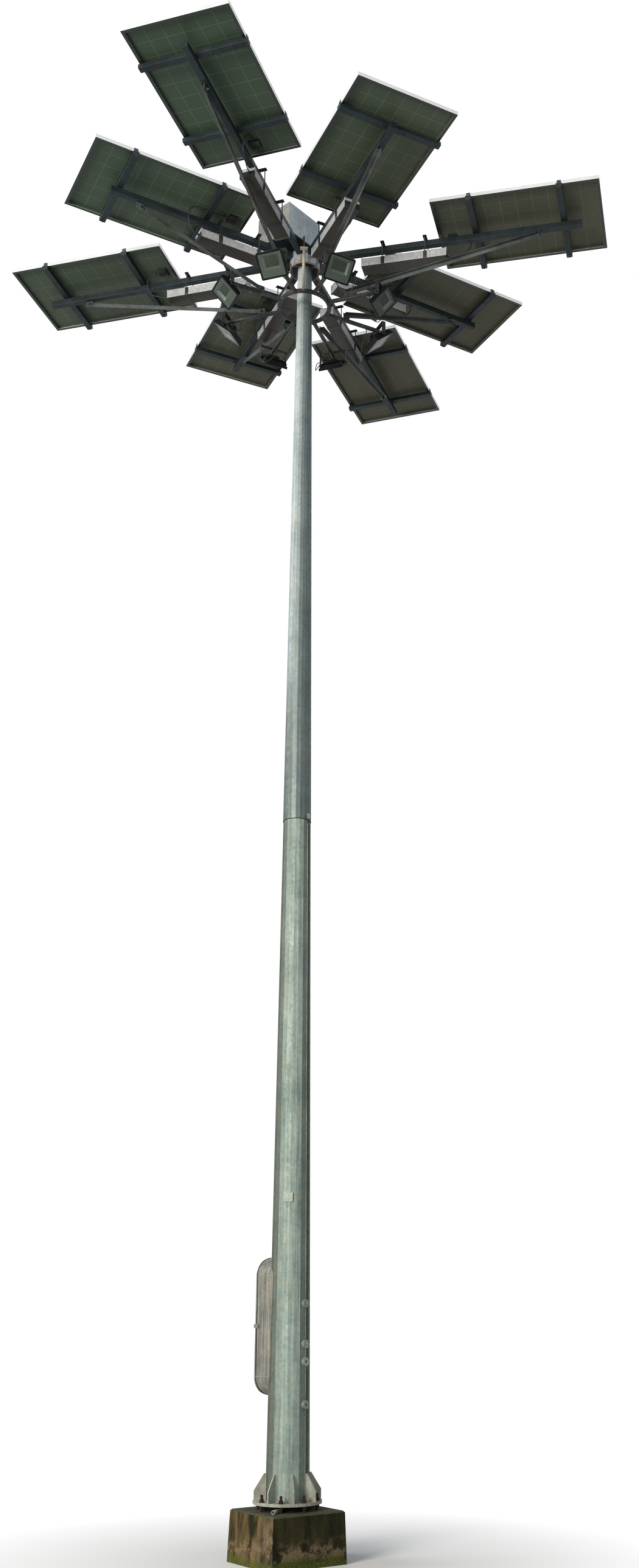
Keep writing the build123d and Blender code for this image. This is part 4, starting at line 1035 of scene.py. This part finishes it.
# Painted shade: faces looking down take a dark tone, mottled by the soil noise.
under_face = add(tree, "MapRange", Value=squareness(tree, up(1)), From_Min=-0.2, From_Max=-0.8)
painted_shade_underside = add(tree, "Mix", _0=soil, _6="#2a2924", _7="#4f4c43")
coat = add(tree, "Mix", _0=under_face, _6=side_tone, _7=painted_shade_underside)
dents = add(tree, "Bump", Strength=0.12, Distance=0.003, Height=soil)
plug(shader, Base_Color=coat, Metallic=0.15, Specular_IOR_Level=0.3, Roughness=0.48, Normal=dents)
finish_with(battery_zinc, "battery_boxes")

# Rolled strap and rod: dark, dull zinc with fine spangle and some rust.
strap_zinc = weathered_zinc("dull_zinc_strap", "#4e5354", "#2a2e2f", "#4b3a2a", spangle_mm=8,
                            metallic=0.3)
finish_with(strap_zinc, "battery_straps")

# End caps with a folded rim, a black cable plate with two catches low on each outer end,
# and the rods' nuts.
CAP_HALF_WIDTH = 0.0765
CAP_HALF_DEPTH = 0.0465
CAP_LIP = 0.0033
CAP_SIDES = (
    (-CAP_HALF_WIDTH, CAP_HALF_WIDTH, CAP_HALF_DEPTH - CAP_LIP, CAP_HALF_DEPTH),
    (-CAP_HALF_WIDTH, CAP_HALF_WIDTH, -CAP_HALF_DEPTH, CAP_LIP - CAP_HALF_DEPTH),
    (-CAP_HALF_WIDTH, CAP_LIP - CAP_HALF_WIDTH, -CAP_HALF_DEPTH, CAP_HALF_DEPTH),
    (CAP_HALF_WIDTH - CAP_LIP, CAP_HALF_WIDTH, -CAP_HALF_DEPTH, CAP_HALF_DEPTH),
)
ROD_OFFSET = 0.082
caps = bmesh.new()
plates = bmesh.new()
latches = bmesh.new()
rod_nuts = bmesh.new()
for azimuth, span in zip(PETAL_AZIMUTHS, BATTERY_SPANS):
    for end, sign in zip(span, (-1, 1)):
        at = petal_frame(azimuth, end, BATTERY_MIDDLE)
        x0, x1 = sorted((-sign * 0.016, sign * 0.0015))
        for y0, y1, z0, z1 in CAP_SIDES:
            block(caps, at, (x0, y0, z0), (x1, y1, z1), 0.0006)
    block(plates, at, (-0.0005, -0.0772, -0.0472), (0.0022, 0.0772, 0.016), 0.0008)
    for y in (-0.045, 0.050):
        block(latches, at, (0.0018, y - 0.009, -0.044), (0.0055, y + 0.009, -0.026), 0.0008)
    for share in (0.25, 0.75):
        radius = span[0] + share * (span[1] - span[0])
        for side in (-1, 1):
            rod = petal_frame(azimuth, radius, ARM_TOP + 0.006) @ Vector((0, side * ROD_OFFSET, 0))
            hex_bolt(rod_nuts, facing(rod, up(1), 0.4 * side), 0.016, 0.008, 0.012)
dressed(caps, "battery_caps", battery_zinc)
dressed(plates, "battery_end_plates", moulded_black)
dressed(latches, "battery_latches", strap_zinc)
dressed(rod_nuts, "strap_rod_nuts", strap_zinc)

# --- Lantern ring, lamp arms and struts ---
# A bent pipe ring round the mast carries eight pipe arms, held up by angle struts bolted to
# tabs. The pipe is dark, with tan rust dust along the arms.

# Drawn pipe and rolled angle: zinc gone dark, with tan dust lying on it.
pipe_zinc = weathered_zinc("rust_dusted_pipe", "#454b4c", "#1f2325", "#a58a68", stained=0.5)
finish_with(pipe_zinc, "lamp_arms", "lantern_ring")
strut_zinc = weathered_zinc("galvanised_strut_angle", "#6a7273", "#363e3f", "#8c785c",
                            metallic=0.25, roughness=0.48)
finish_with(strut_zinc, "struts", "strut_tabs")

# M16 bolts through the tabs and the strut ends, nut on the back.
RING_HEIGHT = 12.185
RING_RADIUS = 0.251
RING_TUBE_RADIUS = 0.021
LAMP_ARM_RADIUS = 0.0205
STRUT_FOOT_RADIUS = 0.470
STRUT_FOOT_LIFT = 0.052
STRUT_HEAD_DROP = 0.036
STRUT_REACH = [2.400, 1.750] * 4
M16_FLATS = 0.024
M16_WASHER = 0.015
shell = bmesh.new()
for azimuth, lamp_azimuth, reach in zip(PETAL_AZIMUTHS, LAMP_AZIMUTHS, STRUT_REACH):
    foot = heading(lamp_azimuth) * STRUT_FOOT_RADIUS + up(RING_HEIGHT + STRUT_FOOT_LIFT)
    head = heading(azimuth) * reach + up(ARM_TOP - ARM_SIZE - STRUT_HEAD_DROP)
    run = head - foot
    level = Vector((run.x, run.y, 0)).normalized()
    side = Vector((level.y, -level.x, 0))
    for at in (foot, head):
        hex_bolt(shell, facing(at + side * 0.008, side, 0.5), M16_FLATS, 0.010, M16_WASHER)
        hex_bolt(shell, facing(at - side * 0.004, -side, 0.2), M16_FLATS, 0.013, M16_WASHER, 0.010)
dressed(shell, "strut_bolts", clamp_zinc)

# Saddle welds where the arms leave the ring.
shell = bmesh.new()
for azimuth in LAMP_AZIMUTHS:
    at = petal_frame(azimuth, 0, RING_HEIGHT)
    ring = []
    for k in range(37):
        y = LAMP_ARM_RADIUS * math.cos(2 * math.pi * k / 36)
        z = LAMP_ARM_RADIUS * math.sin(2 * math.pi * k / 36)
        x = RING_RADIUS + math.sqrt(max(0.0, RING_TUBE_RADIUS ** 2 - z * z)) + 0.0005
        ring.append(at @ Vector((x, y * 1.06, z * 1.06)))
    bead(shell, ring, 0.0034, wander)
dressed(shell, "arm_welds", pipe_zinc)

# --- Floodlights ---
# Die-cast housings in black powder coat with finned backs, hung in flat-bar stirrups. A
# grey-green reflector tray and the lamp board sit in the well behind toughened glass.

# Bent flat bar: dark zinc with fine spangle and a little rust.
stirrup_zinc = weathered_zinc("dark_zinc_flat_bar", "#44494a", "#1f2324", "#6b5641",
                              spangle_mm=10, metallic=0.3, roughness=0.45)
finish_with(stirrup_zinc, "lamp_stirrups")

# Powder coat: black and dusty, with orange peel of about 2.4 mm.
powder_coat = two_toned("black_powder_coat", 100, 5.0, "#07090a", "#15181a",
                        relief=(2.4, 2.0, 0.2, 0.0004), Specular_IOR_Level=0.12,
                        Roughness=0.48)
finish_with(powder_coat, *["floodlight_" + letter for letter in LETTERS])

# Toughened glass, tinted by the board behind it; light passes and the sky lies on it.
lamp_glass = two_toned("toughened_lamp_glass", 111, 4.0, "#34443b", "#465649",
                       Roughness=0.08, IOR=1.5, Specular_IOR_Level=0.35, Alpha=0.34)
finish_with(lamp_glass, *["lamp_glass_" + letter for letter in LETTERS])

# Satin reflector sheet, grey-green under the glass.
reflector = two_toned("satin_reflector_sheet", 55.6, 3.0, "#5f6d64", "#758379",
                      Metallic=0.1, Specular_IOR_Level=0.3, Roughness=0.5)
# The well's slanted walls are polished, and their pale tone is painted sky light.
skylit_wall_paint = two_toned("reflector_wall_painted_skylight", 41.7, 3.0, "#a3b0a8", "#c6d0c9",
                          Metallic=0.6, Roughness=0.35)
# Lamp board: matt board with rows of small phosphor-yellow chips.
board_green = two_toned("solder_masked_board", 16.7, 2.0, "#36443b", "#435147", Roughness=0.5)
phosphor = two_toned("phosphor_chip", 5, 1.0, "#6c6c46", "#84845a", Roughness=0.35)


def pane(at, half_x, half_y, centre_y, corner, height):
    """Points round a rounded rectangle in a frame, five to a corner."""
    points = []
    for k, (sx, sy) in enumerate(((1, 1), (-1, 1), (-1, -1), (1, -1))):
        for step in range(5):
            turn = math.pi / 2 * (k + step / 4)
            points.append(at @ Vector((sx * (half_x - corner) + corner * math.cos(turn),
                                       centre_y + sy * (half_y - corner)
                                       + corner * math.sin(turn), height)))
    return points


LEDGE = 0.034
WELL_MIDDLE = 0.022
WELL_HALF_WIDTH = 0.0880
WELL_HALF_LENGTH = 0.0640
WELL_DEPTH = 0.0232
WELL_FLARE = 0.0198
CHIP_HALF = 0.0017
CHIP_PITCH = (0.0128, 0.0132)
RIM_SCREW = [(0.0034, -0.0004), (0.0034, 0.0008), (0.0026, 0.0017)]
for letter, azimuth in zip(LETTERS, LAMP_AZIMUTHS):
    body = "lamp_" + letter
    # A frame at the lamp's pivot: x sideways, y up its face and z out of its face.
    out = heading(azimuth)
    x = sideways(azimuth)
    z = out * math.cos(LAMP_PITCH) - up(math.sin(LAMP_PITCH))
    at = framed(out * PIVOT_RADIUS + up(PIVOT_HEIGHT), x, z.cross(x), z)
    rings = [pane(at, 0.1175, 0.1060, 0, 0.006, LEDGE + 0.0003)] + [
        pane(at, WELL_HALF_WIDTH - e, WELL_HALF_LENGTH - e, WELL_MIDDLE, 0.002, LEDGE + rise)
        for e, rise in ((0, 0.0003), (0.0008, -0.0006), (WELL_FLARE, -WELL_DEPTH))]
    for name, material, part in (("reflector_tray_", reflector, rings[:3]),
                                 ("reflector_well_", skylit_wall_paint, rings[2:])):
        tray = bmesh.new()
        loft(tray, part, capped=False)
        dressed(tray, name + letter, material, body, 25, outward=False)

    board = bmesh.new()
    block(board, at, (-0.0672, WELL_MIDDLE - 0.0432, LEDGE - WELL_DEPTH - 0.0006),
          (0.0672, WELL_MIDDLE + 0.0432, LEDGE - WELL_DEPTH + 0.0006), 0.0004)
    dressed(board, "lamp_board_" + letter, board_green, body)
    chips = bmesh.new()
    for i in range(10):
        for j in range(6):
            x = (i - 4.5) * CHIP_PITCH[0]
            y = WELL_MIDDLE + (j - 2.5) * CHIP_PITCH[1]
            block(chips, at, (x - CHIP_HALF, y - CHIP_HALF, LEDGE - WELL_DEPTH + 0.0005),
                  (x + CHIP_HALF, y + CHIP_HALF, LEDGE - WELL_DEPTH + 0.0016), 0.0003)
    dressed(chips, "lamp_chips_" + letter, phosphor, body)
    screws = bmesh.new()
    for sx in (-1, 1):
        for x, y in ((0.1255, -0.1140), (0.1265, 0), (0.1255, 0.1140)):
            turned(screws, facing(at @ Vector((sx * x, y, 0.038)), at.to_3x3() @ up(1)),
                   RIM_SCREW, 12)
    dressed(screws, "rim_screws_" + letter, stirrup_zinc, body)

# --- Hood, head pipe and sensor ---
# A folded sheet hood stands on the arms beside the mast head, bright zinc with rust spots
# along its edges. A cream-painted conduit with a tee cap stands on the ring in front.

# Continuously dipped sheet: bright, with the largest spangle.
# Painted light: a cream tint of sunlight on the faces towards the front left.
hood_zinc = weathered_zinc("spangled_hood_sheet", "#bac8ce", "#8d9ca4", "#8f7052",
                           stained=0.5, spangle_mm=32, metallic=0.3, roughness=0.42,
                           runs_share=0.25, painted_light_sides=((-45, 0.70, 0.95, "#e2d2bf"),))
finish_with(hood_zinc, "hood")

# Brushed enamel: chalky cream with tan rain stains, 17 mm wide and 200 mm long.
stained_paint, tree, shader, spot = new_material("stained_cream_enamel")
rain = add(tree, "Mapping", Vector=spot, Scale=(60.0, 60.0, 5.0))
runs = add(tree, "TexNoise", Vector=rain, Scale=1.0, Detail=5.0, Roughness=0.65)
tone = add(tree, "Mix", _0=runs, _6="#b0a389", _7="#f1ebdc")
chalked = add(tree, "Bump", Strength=0.2, Distance=0.001, Height=runs)
plug(shader, Base_Color=tone, Roughness=0.5, Normal=chalked)
finish_with(stained_paint, "head_pipe")
